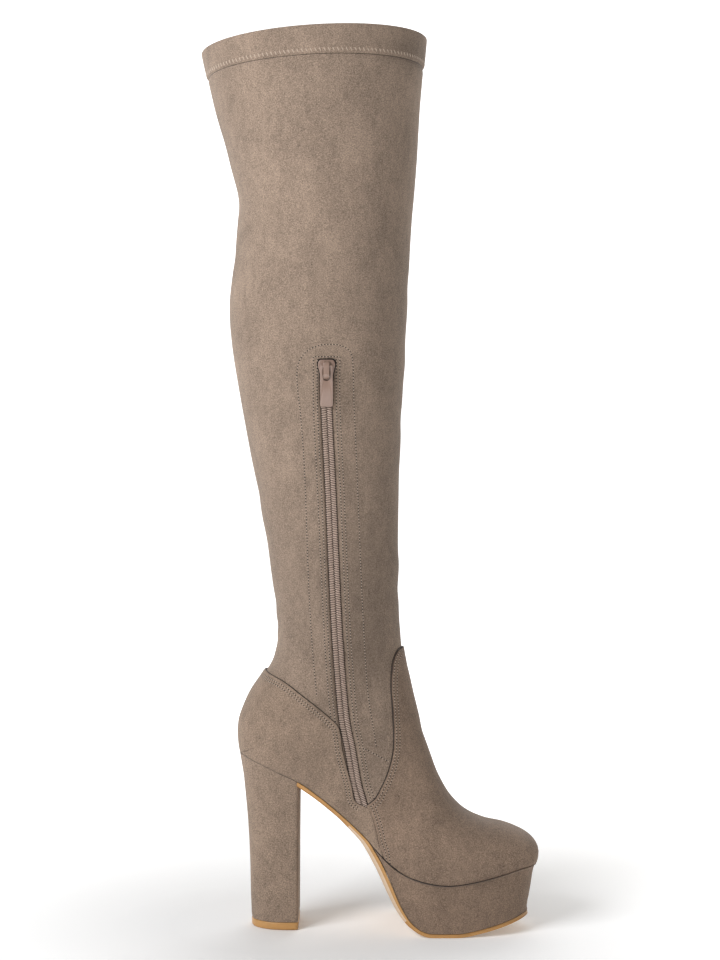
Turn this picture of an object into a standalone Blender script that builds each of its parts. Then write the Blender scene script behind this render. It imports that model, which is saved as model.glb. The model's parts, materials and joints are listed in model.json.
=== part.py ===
"""Thigh high platform boot, left foot: hollow upper with shaft, overlays, zip, platform and block heel.

Metres, +Z up, +X to the toe, +Y to the outer side. The origin is the middle of the heel's wearing face.
"""

import math

import bmesh
import bpy
import numpy as np
from mathutils import Matrix, Vector
from mathutils.bvhtree import BVHTree

# Last and shaft
FOOT_LENGTH = 0.224
BALL_WIDTH = 0.081
INSTEP_HEIGHT = 0.0725
HEEL_HEIGHT = 0.1335
PLATFORM_HEIGHT = 0.0389
TOE_RISE = 0.011
TOE_SPRING = 0.012
HEEL_BACK_X = -0.0258
ANKLE_HEIGHT = 0.0945
ANKLE_DEPTH = 0.0935
ANKLE_WIDTH = 0.072
CALF_DEPTH = 0.1365
CALF_WIDTH = 0.112
THIGH_DEPTH = 0.172
THIGH_WIDTH = 0.132
SHAFT_HEIGHT = 0.5345
SHAFT_LEAN = 0.0212

# Walls and bottom
WALL = 0.0016
OVERLAY = 0.0013
GAP = 0.0003
OVERLAY_GAP = 0.0005
SOLE_GAP = 0.00045
HEEL_GAP = 0.0006
HEM_WIDTH = 0.0175
HEM_STEP = 0.0008
OUTSOLE = 0.0026
INSOLE = 0.002
HEEL_BASE_LENGTH = 0.0364
HEEL_BASE_WIDTH = 0.042
TOP_PIECE = 0.0055

# Zip
ZIP_SLOT = 0.0092
ZIP_CHAIN = 0.0068
ZIP_TAPE_WIDTH = 0.026
ZIP_TAPE = 0.0008
SLIDER_WIDTH = 0.0126
SLIDER_LENGTH = 0.0152
SLIDER_PLATE = 0.0018
BRIDGE_WIDTH = 0.0044
BRIDGE_LENGTH = 0.0132
BRIDGE_HEIGHT = 0.0042
PULL_WIDTH = 0.0094
PULL_LENGTH = 0.0311
PULL_THICK = 0.0012
PULL_LEAN = math.radians(5)
TAPE_PAST_ZIP = 0.006
CHAIN_BEFORE_END = 0.001

# Where the pull hangs: its bar's thickness, the hole for it under the bridge, and the pivot's place above the
# slider's middle and out from the upper
EYE_BAR = 0.0013
EYE_PLAY = 0.0003
EYE_HOLE = EYE_BAR + 2 * GAP + EYE_PLAY
EYE_HOLE_HEIGHT = 2.2 * EYE_HOLE
EYE_HOLE_DROP = 0.6 * EYE_HOLE
ARM_PLAY = 0.0001
ARM_OVERLAP = 0.001
PIVOT_UP = 0.24 * BRIDGE_LENGTH
PIVOT_OUT = 2 * GAP + SLIDER_PLATE + 0.5 * BRIDGE_HEIGHT

# Foot sections from the toe tip to the back of the heel seat, as shares: foot length, heel rise, toe rise,
# foot length and instep height of the top point, ball width of the half width and of the sideways shift
LAST_COLUMNS = "along rise toe top_along top_up half feather shift arch round".split()
LAST = np.array((
    (1.000, 0.000, 1.00, 1.000, 0.000, 0.00, 0.80, -0.080, 0.00, 0.80),
    (0.995, 0.000, 1.02, 1.009, 0.068, 0.13, 0.86, -0.079, 0.00, 0.78),
    (0.975, 0.000, 1.03, 1.007, 0.140, 0.235, 0.92, -0.075, 0.00, 0.76),
    (0.941, 0.000, 0.99, 0.990, 0.216, 0.325, 0.94, -0.066, 0.00, 0.75),
    (0.892, 0.000, 0.79, 0.957, 0.313, 0.405, 0.955, -0.052, 0.00, 0.75),
    (0.830, 0.000, 0.48, 0.901, 0.427, 0.467, 0.96, -0.035, 0.00, 0.76),
    (0.758, 0.000, 0.17, 0.830, 0.524, 0.503, 0.968, -0.018, 0.00, 0.77),
    (0.687, 0.000, 0.00, 0.763, 0.650, 0.516, 0.97, -0.005, 0.00, 0.78),
    (0.615, 0.015, 0.00, 0.711, 0.789, 0.512, 0.965, 0.006, 0.02, 0.80),
    (0.553, 0.059, 0.00, 0.675, 0.917, 0.492, 0.955, 0.013, 0.05, 0.82),
    (0.504, 0.128, 0.00, 0.649, 1.007, 0.468, 0.94, 0.018, 0.08, 0.85),
    (0.459, 0.223, 0.00, 0.631, 1.048, 0.446, 0.905, 0.020, 0.10, 0.88),
    (0.419, 0.334, 0.00, 0.616, 1.055, 0.431, 0.85, 0.020, 0.11, 0.90),
    (0.374, 0.440, 0.00, 0.605, 1.055, 0.423, 0.79, 0.018, 0.10, 0.91),
    (0.321, 0.556, 0.00, 0.594, 1.041, 0.424, 0.75, 0.014, 0.08, 0.92),
    (0.263, 0.672, 0.00, 0.584, 1.014, 0.431, 0.725, 0.009, 0.05, 0.93),
    (0.200, 0.783, 0.00, 0.576, 0.979, 0.440, 0.716, 0.004, 0.02, 0.94),
    (0.133, 0.859, 0.00, 0.569, 0.977, 0.444, 0.69, 0.000, 0.00, 0.95),
    (0.080, 0.917, 0.00, 0.563, 0.978, 0.446, 0.62, 0.000, 0.00, 0.95),
    (0.039, 0.959, 0.00, 0.559, 0.978, 0.446, 0.47, 0.000, 0.00, 0.95),
    (0.010, 0.989, 0.00, 0.557, 0.979, 0.445, 0.25, 0.000, 0.00, 0.95),
    (0.000, 1.000, 0.00, 0.5545, 1.000, 0.444, 0.00, 0.000, 0.00, 0.95),
))

# Loops round the heel and ankle, as shares: ankle height and depth of the back point, foot length and
# instep height of the front point, ankle width
ANKLE_COLUMNS = "up back top_along top_up width".split()
ANKLE = np.array((
    (0.122, -0.016, 0.551, 1.062, 1.000),
    (0.249, -0.009, 0.548, 1.124, 1.005),
    (0.370, 0.032, 0.546, 1.193, 1.010),
    (0.492, 0.091, 0.544, 1.276, 1.010),
    (0.612, 0.174, 0.5415, 1.372, 1.010),
    (0.735, 0.252, 0.540, 1.483, 1.005),
    (0.856, 0.282, 0.539, 1.607, 1.000),
))

# Loops up the leg, as shares: shaft above the ankle, ankle depth that the front stands above the back,
# forward lean, and the depth and width of the girth that the row follows
LEG_COLUMNS = "level tilt lean depth width".split()
LEG = (
    ("ankle", (0.000, 0.353, 0.000, 1.000, 1.000)),
    ("ankle", (0.048, 0.289, -0.010, 1.015, 1.010)),
    ("ankle", (0.100, 0.214, -0.014, 1.047, 1.045)),
    ("ankle", (0.152, 0.160, -0.005, 1.081, 1.100)),
    ("ankle", (0.205, 0.107, 0.010, 1.135, 1.170)),
    ("calf", (0.257, 0.075, 0.028, 0.808, 0.800)),
    ("calf", (0.310, 0.043, 0.080, 0.850, 0.850)),
    ("calf", (0.416, 0.000, 0.164, 0.925, 0.930)),
    ("calf", (0.500, 0.000, 0.250, 0.980, 0.980)),
    ("calf", (0.565, 0.000, 0.340, 1.003, 1.000)),
    ("calf", (0.652, 0.000, 0.416, 0.988, 1.000)),
    ("calf", (0.705, 0.000, 0.480, 0.980, 0.990)),
    ("calf", (0.730, 0.000, 0.523, 0.976, 0.990)),
    ("calf", (0.757, 0.000, 0.575, 0.994, 1.000)),
    ("thigh", (0.809, 0.021, 0.668, 0.837, 0.890)),
    ("thigh", (0.861, 0.043, 0.738, 0.882, 0.920)),
    ("thigh", (0.914, 0.064, 0.818, 0.928, 0.950)),
    ("thigh", (1.000, 0.123, 1.000, 1.000, 1.000)),
)
GIRTHS = {
    "ankle": (ANKLE_DEPTH, ANKLE_WIDTH),
    "calf": (CALF_DEPTH, CALF_WIDTH),
    "thigh": (THIGH_DEPTH, THIGH_WIDTH),
}
LEG_FRONT = 0.538
ANKLE_ROUND = 0.97

# Underside of the outsole below the last's first rows, as shares: foot length, platform height, toe spring,
# and how far the side slopes in under the upper's edge, of the ball width. Behind them it follows the waist
BASE_COLUMNS = "along lift spring inset".split()
BASE = np.array((
    (0.975, 0.000, 1.00, 0.000),
    (0.970, 0.000, 0.99, 0.004),
    (0.950, 0.000, 0.93, 0.008),
    (0.919, 0.000, 0.80, 0.012),
    (0.870, 0.000, 0.57, 0.016),
    (0.803, 0.000, 0.27, 0.018),
    (0.722, 0.000, 0.00, 0.018),
    (0.624, 0.000, 0.00, 0.018),
    (0.564, 0.159, 0.00, 0.016),
    (0.521, 0.501, 0.00, 0.012),
    (0.486, 0.964, 0.00, 0.008),
    (0.452, 1.375, 0.00, 0.004),
))
BALL_SKEW = 0.085
BALL_ROW = 6
PLATFORM_END = 12
SEAT_FRONT = 16
SEAT_BACK = 21
BREAST_LEAN = 0.65

# The heel block's way from its seat to its base, as shares: depth below the seat, taper reached
HEEL_TAPER = ((0.0, 0.0), (0.145, 0.33), (0.4, 0.66), (0.63, 0.84), (0.87, 0.92), (1.0, 1.0))

# Outlines seen from the side, as shares: foot length from the heel's back, instep height above the seat
COUNTER_EDGE = (
    (-0.15, 1.13), (0.08, 0.86), (0.152, 0.77), (0.215, 0.63), (0.279, 0.476), (0.328, 0.34), (0.339, 0.247),
    (0.346, 0.092), (0.359, -0.083), (0.376, -0.28), (0.385, -0.43), (0.394, -0.505), (0.410, -0.522),
)
SEAM_EDGE = ((0.425, -0.50), (0.447, -0.588), (0.461, -0.774), (0.470, -0.908), (0.485, -1.094), (0.49, -1.9))
VAMP_EDGE = (
    (0.418, -0.43), (0.439, -0.452), (0.463, -0.37), (0.486, -0.257), (0.505, -0.12), (0.516, 0.023),
    (0.5195, 0.168), (0.518, 0.313), (0.514, 0.52), (0.510, 0.70), (0.512, 0.878), (0.518, 0.983),
    (0.532, 1.07), (0.55, 1.10), (0.62, 1.11),
)
TONGUE_TOP = VAMP_EDGE[-1][1]
BEYOND_TOE = 1.2
BEYOND_HEEL = COUNTER_EDGE[0][0]
BELOW_SOLE = SEAM_EDGE[-1][1]

# Middle line of the zip from its foot to its top, as shares: foot length, instep and shaft height
ZIP_LINE = (
    (0.410, -0.475, 0.0), (0.392, -0.269, 0.0), (0.372, 0.092, 0.0), (0.351, 0.443, 0.0), (0.332, 0.0, 0.156),
    (0.319, 0.0, 0.265), (0.308, 0.0, 0.376), (0.2955, 0.0, 0.489), (0.2955, 0.0, 0.556),
)
SLIDER_AT = (0.2955, 0.541)
SIDE_STEPS = 13
SHEET_STEPS = 5
PRISM_DEPTH = 0.12
ZIP_SIDE = -0.004

# How far the insole's edge is drawn in along the foot, in walls, at rows of the last
INSOLE_ROWS = (0, 3, 17, 19.5)
INSOLE_WALLS = (1, 0, 0, -1.6)

COLOURS = {
    "suede": (0.27, 0.21, 0.165), "vamp_suede": (0.22, 0.165, 0.125), "platform_suede": (0.19, 0.14, 0.11),
    "outsole_tan": (0.45, 0.28, 0.15), "rubber": (0.36, 0.23, 0.14), "insole": (0.48, 0.38, 0.28),
    "zip": (0.17, 0.13, 0.105), "lacquer": (0.34, 0.25, 0.19),
}


def column(table, names, name):
    return table[:, names.index(name)]


def edge_heights(rows):
    """Heights above the floor of the last's edge at these rows of its table."""
    rise = column(rows, LAST_COLUMNS, "rise") * (HEEL_HEIGHT - PLATFORM_HEIGHT)
    return PLATFORM_HEIGHT + rise + column(rows, LAST_COLUMNS, "toe") * TOE_RISE


def foot_rows():
    """One line for each foot section: back x, z, front x, z, half width, feather, shift, arch, round."""
    take = lambda name: column(LAST, LAST_COLUMNS, name)
    z = edge_heights(LAST)
    return np.column_stack((
        HEEL_BACK_X + take("along") * FOOT_LENGTH, z,
        HEEL_BACK_X + take("top_along") * FOOT_LENGTH, z + take("top_up") * INSTEP_HEIGHT,
        take("half") * BALL_WIDTH, take("feather"), take("shift") * BALL_WIDTH, take("arch"), take("round"),
    ))


def ankle_rows():
    take = lambda name: column(ANKLE, ANKLE_COLUMNS, name)
    plain = np.zeros(len(ANKLE))
    return np.column_stack((
        HEEL_BACK_X + take("back") * ANKLE_DEPTH, HEEL_HEIGHT + take("up") * ANKLE_HEIGHT,
        HEEL_BACK_X + take("top_along") * FOOT_LENGTH, HEEL_HEIGHT + take("top_up") * INSTEP_HEIGHT,
        take("width") * ANKLE_WIDTH / 2, plain, plain, plain, plain + ANKLE_ROUND,
    ))


def leg_rows():
    shares = np.array([row for girth, row in LEG])
    girths = np.array([GIRTHS[girth] for girth, row in LEG])
    take = lambda name: column(shares, LEG_COLUMNS, name)
    front = HEEL_BACK_X + LEG_FRONT * FOOT_LENGTH + take("lean") * SHAFT_LEAN
    z = HEEL_HEIGHT + ANKLE_HEIGHT + take("level") * (SHAFT_HEIGHT - ANKLE_HEIGHT)
    plain = np.zeros(len(LEG))
    return np.column_stack((
        front - take("depth") * girths[:, 0], z, front, z + take("tilt") * ANKLE_DEPTH,
        take("width") * girths[:, 1] / 2, plain, plain, plain, plain + 1,
    ))


def between(table, rows):
    """The table read between its rows, on the smooth curve through them (Catmull and Rom's)."""
    rows = np.clip(np.asarray(rows, float), 0, len(table) - 1)
    first = np.minimum(rows.astype(int), len(table) - 2)
    t = (rows - first)[:, None]
    padded = np.vstack((2 * table[0] - table[1], table, 2 * table[-1] - table[-2]))
    a, b, c, d = (padded[first + k] for k in range(4))
    return b + t / 2 * (c - a + t * (2 * a - 5 * b + 4 * c - d + t * (3 * (b - c) + d - a)))


SECTIONS = np.vstack((foot_rows(), ankle_rows(), leg_rows()))
COLLAR = len(SECTIONS) - 1


def surface(rows, across):
    """Points of the last at rows by across, from -1 at the inner edge over 0 at the front to 1 at the outer.

    In its own slanted plane a section leaves the edge at the feather's half width, swells to the half width
    and closes at the front point: y = half sin(a)^round, and the way from back to front goes as 1 - cos(a).
    """
    back_x, back_z, front_x, front_z, half, feather, shift, arch, power = (
        values[:, None] for values in between(SECTIONS, rows).T
    )
    across = np.asarray(across)[None, :]
    start = np.arcsin(np.clip(feather, 0, 1) ** (1 / power))
    angle = start + (np.pi - start) * (1 - np.abs(across))
    way = (np.cos(start) - np.cos(angle)) / (1 + np.cos(start))
    inner = 1 - arch * (across < 0)
    y = shift * (1 - way) + np.sign(across) * half * inner * np.abs(np.sin(angle)) ** power
    skew = BALL_SKEW * ball_share(rows)[:, None] * y * (1 - way)
    return np.stack((back_x + way * (front_x - back_x) - skew, y, back_z + way * (front_z - back_z)), axis=2)


def ball_share(rows):
    """1 round the ball and waist, where the sole's line runs aslant, fading to 0 at toe tip and heel."""
    rows = np.asarray(rows, float)
    return np.clip(rows / 4, 0, 1) * np.clip((SEAT_FRONT - rows) / 4, 0, 1)


def edges(rows, out=0.0):
    """Inner and outer edge of the foot at these rows, straight between whole rows, moved out sideways."""
    low = np.floor(rows)
    part = (rows - low)[:, None, None]
    points = surface(low, (-1, 1)) * (1 - part) + surface(low + 1, (-1, 1)) * part
    points[:, 0, 1] -= out
    points[:, 1, 1] += out
    return points


def base_line(rows):
    """x and z of the outsole's underside below these rows of the last, and the inset of its sides."""
    take = lambda name: column(BASE, BASE_COLUMNS, name)
    front = np.column_stack((
        HEEL_BACK_X + take("along") * FOOT_LENGTH,
        take("lift") * PLATFORM_HEIGHT + take("spring") * TOE_SPRING, take("inset") * BALL_WIDTH,
    ))
    line = SECTIONS[:SEAT_FRONT + 1, :2]
    slope = np.gradient(line, axis=0)
    down = np.column_stack((-slope[:, 1], slope[:, 0])) / np.linalg.norm(slope, axis=1)[:, None]
    waist = np.column_stack((line + (OUTSOLE + SOLE_GAP) * down, np.zeros(len(line))))[len(BASE):]
    found = between(np.vstack((front, waist)), rows)
    found[:, 1] = np.maximum(found[:, 1], 0)
    return found


def grid_faces(count, wide):
    """Triangles of a grid with count rows of wide points, cut the same way in every form of the last."""
    at = np.arange(count * wide).reshape(count, wide)
    low = np.stack((at[:-1, :-1], at[:-1, 1:], at[1:, 1:]), axis=2).reshape(-1, 3)
    high = np.stack((at[:-1, :-1], at[1:, 1:], at[1:, :-1]), axis=2).reshape(-1, 3)
    return np.concatenate((low, high))


def mesh_object(name, points, faces, colour, rough=0.8, metal=0.0):
    """A named object with its own material, its doubles merged and its faces pointing the same way."""
    mesh = bpy.data.meshes.new(name)
    corners = [tuple(point) for point in np.reshape(points, (-1, 3))]
    mesh.from_pydata(corners, [], [list(face) for face in faces])
    bm = bmesh.new()
    bm.from_mesh(mesh)
    bmesh.ops.remove_doubles(bm, verts=bm.verts, dist=1e-6)
    bmesh.ops.dissolve_degenerate(bm, edges=bm.edges, dist=1e-6)
    bmesh.ops.recalc_face_normals(bm, faces=bm.faces)
    bm.to_mesh(mesh)
    bm.free()
    material = bpy.data.materials.new(name)
    material.use_nodes = True
    shader = material.node_tree.nodes["Principled BSDF"]
    shader.inputs["Base Color"].default_value = (*COLOURS[colour], 1)
    shader.inputs["Roughness"].default_value = rough
    shader.inputs["Metallic"].default_value = metal
    mesh.materials.append(material)
    mesh.shade_smooth()
    piece = bpy.data.objects.new(name, mesh)
    PARTS.objects.link(piece)
    return piece


def moved(rows, across, out):
    """The surface moved out along its normals, by one distance or by one for each row."""
    points = surface(rows, across)
    normals = np.cross(np.gradient(points, axis=1), np.gradient(points, axis=0))
    normals[np.asarray(rows) < 0.01] = (1, 0, 0)
    rows = np.asarray(rows)
    for end, side in ((0, -1), (-1, 1)):
        normals[rows >= SEAT_BACK, end, 1] = 0
        normals[rows <= SEAT_BACK, end, 2] = 0
        normals[(rows > BALL_ROW) & (rows <= SEAT_FRONT), end] = (0, side, 0)
    normals /= np.linalg.norm(normals, axis=2)[:, :, None]
    return points + normals * np.broadcast_to(out, (len(rows),))[:, None, None]


def shell(name, rows, out, thick, colour):
    """A wall between two forms of the last, closed up the back.

    It has a rim at its top and along the foot's edge.
    """
    across = np.linspace(-1, 1, 2 * SIDE_STEPS + 1)
    wide = len(across)
    outer = moved(rows, across, out).reshape(-1, 3)
    inner = moved(rows, across, out - thick).reshape(-1, 3)
    size = len(outer)
    faces = grid_faces(len(rows), wide)
    top = [size - wide + k for k in range(wide)]
    rims = list(zip(top, top[1:]))
    if rows[0] > 0:
        rims += [(k + 1, k) for k in range(wide - 1)]
    for number in np.flatnonzero(np.asarray(rows) < SEAT_BACK):
        rims += [(number * wide, (number + 1) * wide)]
        rims += [((number + 2) * wide - 1, (number + 1) * wide - 1)]
    walls = [(a, b, size + b, size + a) for a, b in rims]
    points = np.concatenate((outer, inner))
    return mesh_object(name, points, [*faces, *(faces[:, ::-1] + size), *walls], colour)


def prism(name, outline, low, high):
    """A cutter: an outline of x and z points carried along Y from low to high."""
    count = len(outline)
    points = [(x, y, z) for y in (low, high) for x, z in outline]
    sides = [(k, (k + 1) % count, count + (k + 1) % count, count + k) for k in range(count)]
    ends = [range(count), range(count, 2 * count)]
    return as_cutter(mesh_object(name, points, sides + ends, "zip"))


def as_cutter(piece):
    """Takes a piece out of the boot and keeps it, hidden, as a tool for a Boolean."""
    PARTS.objects.unlink(piece)
    CUTTERS.objects.link(piece)
    piece.hide_render = True
    piece.display_type = "WIRE"
    return piece


def boolean(piece, cutter, operation):
    cut = piece.modifiers.new(cutter.name, "BOOLEAN")
    cut.operation = operation
    cut.object = cutter


def side_points(outline):
    """Shares of foot length and of instep height above the seat, as x and z."""
    return [
        (HEEL_BACK_X + along * FOOT_LENGTH, HEEL_HEIGHT + up * INSTEP_HEIGHT) for along, up in outline
    ]


def zip_middle():
    """The zip's middle line as x and z."""
    return np.array([
        (HEEL_BACK_X + along * FOOT_LENGTH, HEEL_HEIGHT + foot * INSTEP_HEIGHT + leg * SHAFT_HEIGHT)
        for along, foot, leg in ZIP_LINE
    ])


def zip_band(width, longer=0.0):
    """Outline of a band of this width round the zip's middle line, and that much longer at its ends."""
    line = zip_middle()
    ways = np.gradient(line, axis=0)
    ways /= np.linalg.norm(ways, axis=1)[:, None]
    line[0] -= ways[0] * longer
    line[-1] += ways[-1] * longer
    aside = np.column_stack((ways[:, 1], -ways[:, 0])) * width / 2
    return [tuple(p) for p in line + aside] + [tuple(p) for p in (line - aside)[::-1]]


def make_upper():
    """Foot and shaft in one wall, its collar folded over to a thicker hem, with a slot for the zip."""
    per_row = SECTIONS[COLLAR, 1] - SECTIONS[COLLAR - 1, 1]
    hem = COLLAR - HEM_WIDTH / per_row
    rows = np.array([*range(0, COLLAR), hem, hem + HEM_STEP / per_row, COLLAR], float)
    out = np.where(rows > hem, HEM_STEP, 0.0)
    upper = shell("upper", np.sort(rows), out[np.argsort(rows)], WALL, "suede")
    slot = prism("zip_slot", zip_band(ZIP_SLOT), -PRISM_DEPTH, 0)
    boolean(upper, slot, "DIFFERENCE")


def make_overlay(name, outline, rows, colour):
    """A panel cut from a larger form of the upper, lying a gap off it."""
    panel = shell(name, rows, OVERLAY_GAP + OVERLAY, OVERLAY, colour)
    boolean(panel, prism(name + "_outline", outline, -PRISM_DEPTH, PRISM_DEPTH), "INTERSECT")


def make_vamp():
    toe = (VAMP_EDGE[-1], (BEYOND_TOE, TONGUE_TOP), (BEYOND_TOE, BELOW_SOLE), SEAM_EDGE[-1])
    seam = [(x + 2 * GAP, z) for x, z in side_points(SEAM_EDGE[::-1] + VAMP_EDGE)]
    outline = seam + side_points(toe)
    make_overlay("vamp", outline, np.arange(0.0, 33.0), "vamp_suede")


def make_counter():
    outline = side_points(COUNTER_EDGE + SEAM_EDGE + ((BEYOND_HEEL, BELOW_SOLE),))
    make_overlay("counter", outline, np.arange(6.0, 33.0), "suede")


def sole_rows():
    """Rows of the last below which the sole has its sections, closer where it turns down from the waist."""
    step = SECTIONS[SEAT_FRONT - 1, 0] - SECTIONS[SEAT_FRONT, 0]
    breast = SEAT_FRONT - (BREAST_LEAN * OUTSOLE + 2 * GAP) / step
    turn = np.arange(6.0, 11.0, 0.5)
    return np.array([*np.arange(0.0, 6.0), *turn, *np.arange(11.0, SEAT_FRONT), breast])


def sole_sheet(rows, up, out):
    """Underside of the outsole moved up, with one line of points across for each row of the last."""
    sides = edges(rows, out)
    base = base_line(rows)
    half = (sides[:, 1, 1] - sides[:, 0, 1]) / 2 - base[:, 2]
    middle = (sides[:, 1, 1] + sides[:, 0, 1]) / 2
    y = middle[:, None] + half[:, None] * np.linspace(-1, 1, SHEET_STEPS)[None, :]
    slope = np.gradient(base[:, :2], axis=0)
    normal = np.column_stack((slope[:, 1], -slope[:, 0])) / np.linalg.norm(slope, axis=1)[:, None]
    place = base[:, :2] + up * normal
    skew = BALL_SKEW * ball_share(rows)[:, None] * y
    return np.stack((place[:, :1] - skew, y, np.repeat(place[:, 1:], SHEET_STEPS, axis=1)), axis=2)


def top_sheet(rows, out):
    """The plane across the foot's edge at each row, a gap below the upper."""
    return across_between(edges(rows, out)) - (0, 0, SOLE_GAP)


def across_between(sides):
    """Points at even steps from the inner to the outer of two points, for each row."""
    share = np.linspace(0, 1, SHEET_STEPS)[None, :, None]
    return sides[:, :1] + share * (sides[:, 1:] - sides[:, :1])


def between_sheets(name, low, high, colour, rough=0.8):
    """A closed body between two sheets of the same rows, walled round their rims."""
    count, wide = low.shape[:2]
    faces = grid_faces(count, wide)
    rim = [(0, k) for k in range(wide - 1)]
    rim += [(k, wide - 1) for k in range(count - 1)]
    rim += [(count - 1, wide - 1 - k) for k in range(wide - 1)]
    rim += [(count - 1 - k, 0) for k in range(count - 1)]
    ring = [row * wide + k for row, k in rim]
    size = count * wide
    walls = [(a, b, size + b, size + a) for a, b in zip(ring, ring[1:] + ring[:1])]
    points = np.concatenate((low.reshape(-1, 3), high.reshape(-1, 3)))
    return mesh_object(name, points, [*faces[:, ::-1], *(faces + size), *walls], colour, rough)


def make_outsole():
    rows = sole_rows()
    out = OVERLAY + OVERLAY_GAP
    low = sole_sheet(rows, 0, out)
    high = sole_sheet(rows, OUTSOLE, out)
    waist = rows >= PLATFORM_END
    high[waist] = top_sheet(rows[waist], out)
    low[:, :, 2] = np.maximum(low[:, :, 2], 0)
    between_sheets("outsole", low, high, "outsole_tan", 0.45)


def make_platform():
    """Fills the room between outsole and upper, from the toe to where it runs out up the waist."""
    rows = sole_rows()
    rows = rows[rows <= PLATFORM_END]
    out = OVERLAY + OVERLAY_GAP
    low = sole_sheet(rows, OUTSOLE + GAP, out)
    high = top_sheet(rows, out)
    between_sheets("platform", low, high, "platform_suede", 0.9)


def seat_ring():
    """Outline of the heel seat from the inner breast corner round the back to the outer, and its slope."""
    rows = np.arange(SEAT_FRONT, SEAT_BACK + 1.0)
    sides = edges(rows, OVERLAY + OVERLAY_GAP)
    sides[-1, :, 1] = 0
    sides[:, :, 0] -= (OVERLAY + OVERLAY_GAP) * np.clip((rows - SEAT_FRONT - 2) / 3, 0, 1)[:, None]
    breast = [sides[0, 1] + share * (sides[0, 0] - sides[0, 1]) for share in (0.25, 0.5, 0.75)]
    return np.array([*sides[:, 0], *sides[-2::-1, 1], *breast])


def heel_ring(depth, taper):
    """One level of the heel block: the seat's outline drawn in towards the base."""
    ring = seat_ring()
    front, back, half = ring[:, 0].max(), ring[:, 0].min(), ring[:, 1].max()
    base_x = (ring[:, 0] - back) / (front - back) * HEEL_BASE_LENGTH - HEEL_BASE_LENGTH / 2
    base_y = ring[:, 1] / half * HEEL_BASE_WIDTH / 2
    top_z = ring[:, 2] - HEEL_GAP
    return np.column_stack((
        ring[:, 0] + taper * (base_x - ring[:, 0]), ring[:, 1] + taper * (base_y - ring[:, 1]),
        top_z + depth * (TOP_PIECE + GAP - top_z),
    ))


def stacked(name, rings, colour, rough=0.8):
    """A closed body through rings of the same count, from the top one to the lowest."""
    count = len(rings[0])
    around = [(k, (k + 1) % count) for k in range(count)]
    faces = []
    for start in range(0, (len(rings) - 1) * count, count):
        below = start + count
        faces += [(start + k, start + after, below + after, below + k) for k, after in around]
    points = np.concatenate((*rings, [rings[0].mean(axis=0)], [rings[-1].mean(axis=0)]))
    top, low = len(points) - 2, len(points) - 1
    last = (len(rings) - 1) * count
    faces += [(top, after, k) for k, after in around]
    faces += [(low, last + k, last + after) for k, after in around]
    return mesh_object(name, points, faces, colour, rough)


def make_heel():
    stacked("heel", [heel_ring(depth, taper) for depth, taper in HEEL_TAPER], "suede")


def make_top_piece():
    ring = heel_ring(1, 1)
    stacked("heel_top_piece", [ring * (1, 1, 0) + (0, 0, TOP_PIECE), ring * (1, 1, 0)], "rubber", 0.6)


def make_insole():
    """A bent sheet that lies in the foot, a gap inside the wall and a gap above what is under it."""
    rows = np.arange(1.0, SEAT_BACK)
    wall = WALL + 2 * GAP
    low = across_between(edges(rows, -wall))
    low[:, :, 0] -= wall * np.interp(rows, INSOLE_ROWS, INSOLE_WALLS)[:, None]
    low[:, :, 2] += GAP
    high = low + (0, 0, INSOLE)
    between_sheets("insole", low, high, "insole", 0.6)


def make_zip_band(name, width, longer, out, thick, rows, colour):
    band = shell(name, rows, out, thick, colour)
    outline = prism(name + "_outline", zip_band(width, longer), -PRISM_DEPTH, ZIP_SIDE)
    boolean(band, outline, "INTERSECT")


def make_zip():
    """The tape lies behind the wall, and the closed chain on it, in the slot."""
    rows = np.arange(9.0, COLLAR - 5)
    make_zip_band("zip_tape", ZIP_TAPE_WIDTH, TAPE_PAST_ZIP, -WALL - GAP, ZIP_TAPE, rows, "zip")
    make_zip_band("zip_chain", ZIP_CHAIN, -CHAIN_BEFORE_END, 0.0, WALL, rows, "lacquer")


def slider_place():
    """Matrix of the slider: X across the zip, Y up along it, Z out of the upper, at its middle."""
    across = np.linspace(-1, 1, 2 * SIDE_STEPS + 1)
    rows = np.arange(25.0, COLLAR)
    points = moved(rows, across, 0.0).reshape(-1, 3)
    faces = grid_faces(len(rows), len(across)).tolist()
    tree = BVHTree.FromPolygons([Vector(point) for point in points], faces)
    along, up = SLIDER_AT
    start = Vector((HEEL_BACK_X + along * FOOT_LENGTH, -1, HEEL_HEIGHT + up * SHAFT_HEIGHT))
    place, normal = tree.ray_cast(start, Vector((0, 1, 0)))[:2]
    out = normal if normal.y < 0 else -normal
    line = zip_middle()
    way = Vector((line[-1, 0] - line[-2, 0], 0, line[-1, 1] - line[-2, 1]))
    aside = way.cross(out).normalized()
    upward = out.cross(aside)
    return Matrix.Translation(place) @ Matrix((aside, upward, out)).transposed().to_4x4()


def box(name, size, centre, colour, rough=0.4, bevel=0.0003):
    """A block of this size with rounded edges, its mesh placed at centre."""
    mesh = bpy.data.meshes.new(name)
    bm = bmesh.new()
    bmesh.ops.create_cube(bm, size=1, matrix=Matrix.Translation(centre) @ Matrix.Diagonal((*size, 1)))
    bm.to_mesh(mesh)
    bm.free()
    corners = [vert.co for vert in mesh.vertices]
    piece = mesh_object(name, corners, [face.vertices for face in mesh.polygons], colour, rough)
    if bevel:
        rounding = piece.modifiers.new("edges", "BEVEL")
        rounding.width = bevel
        rounding.segments = 2
    return piece


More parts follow.
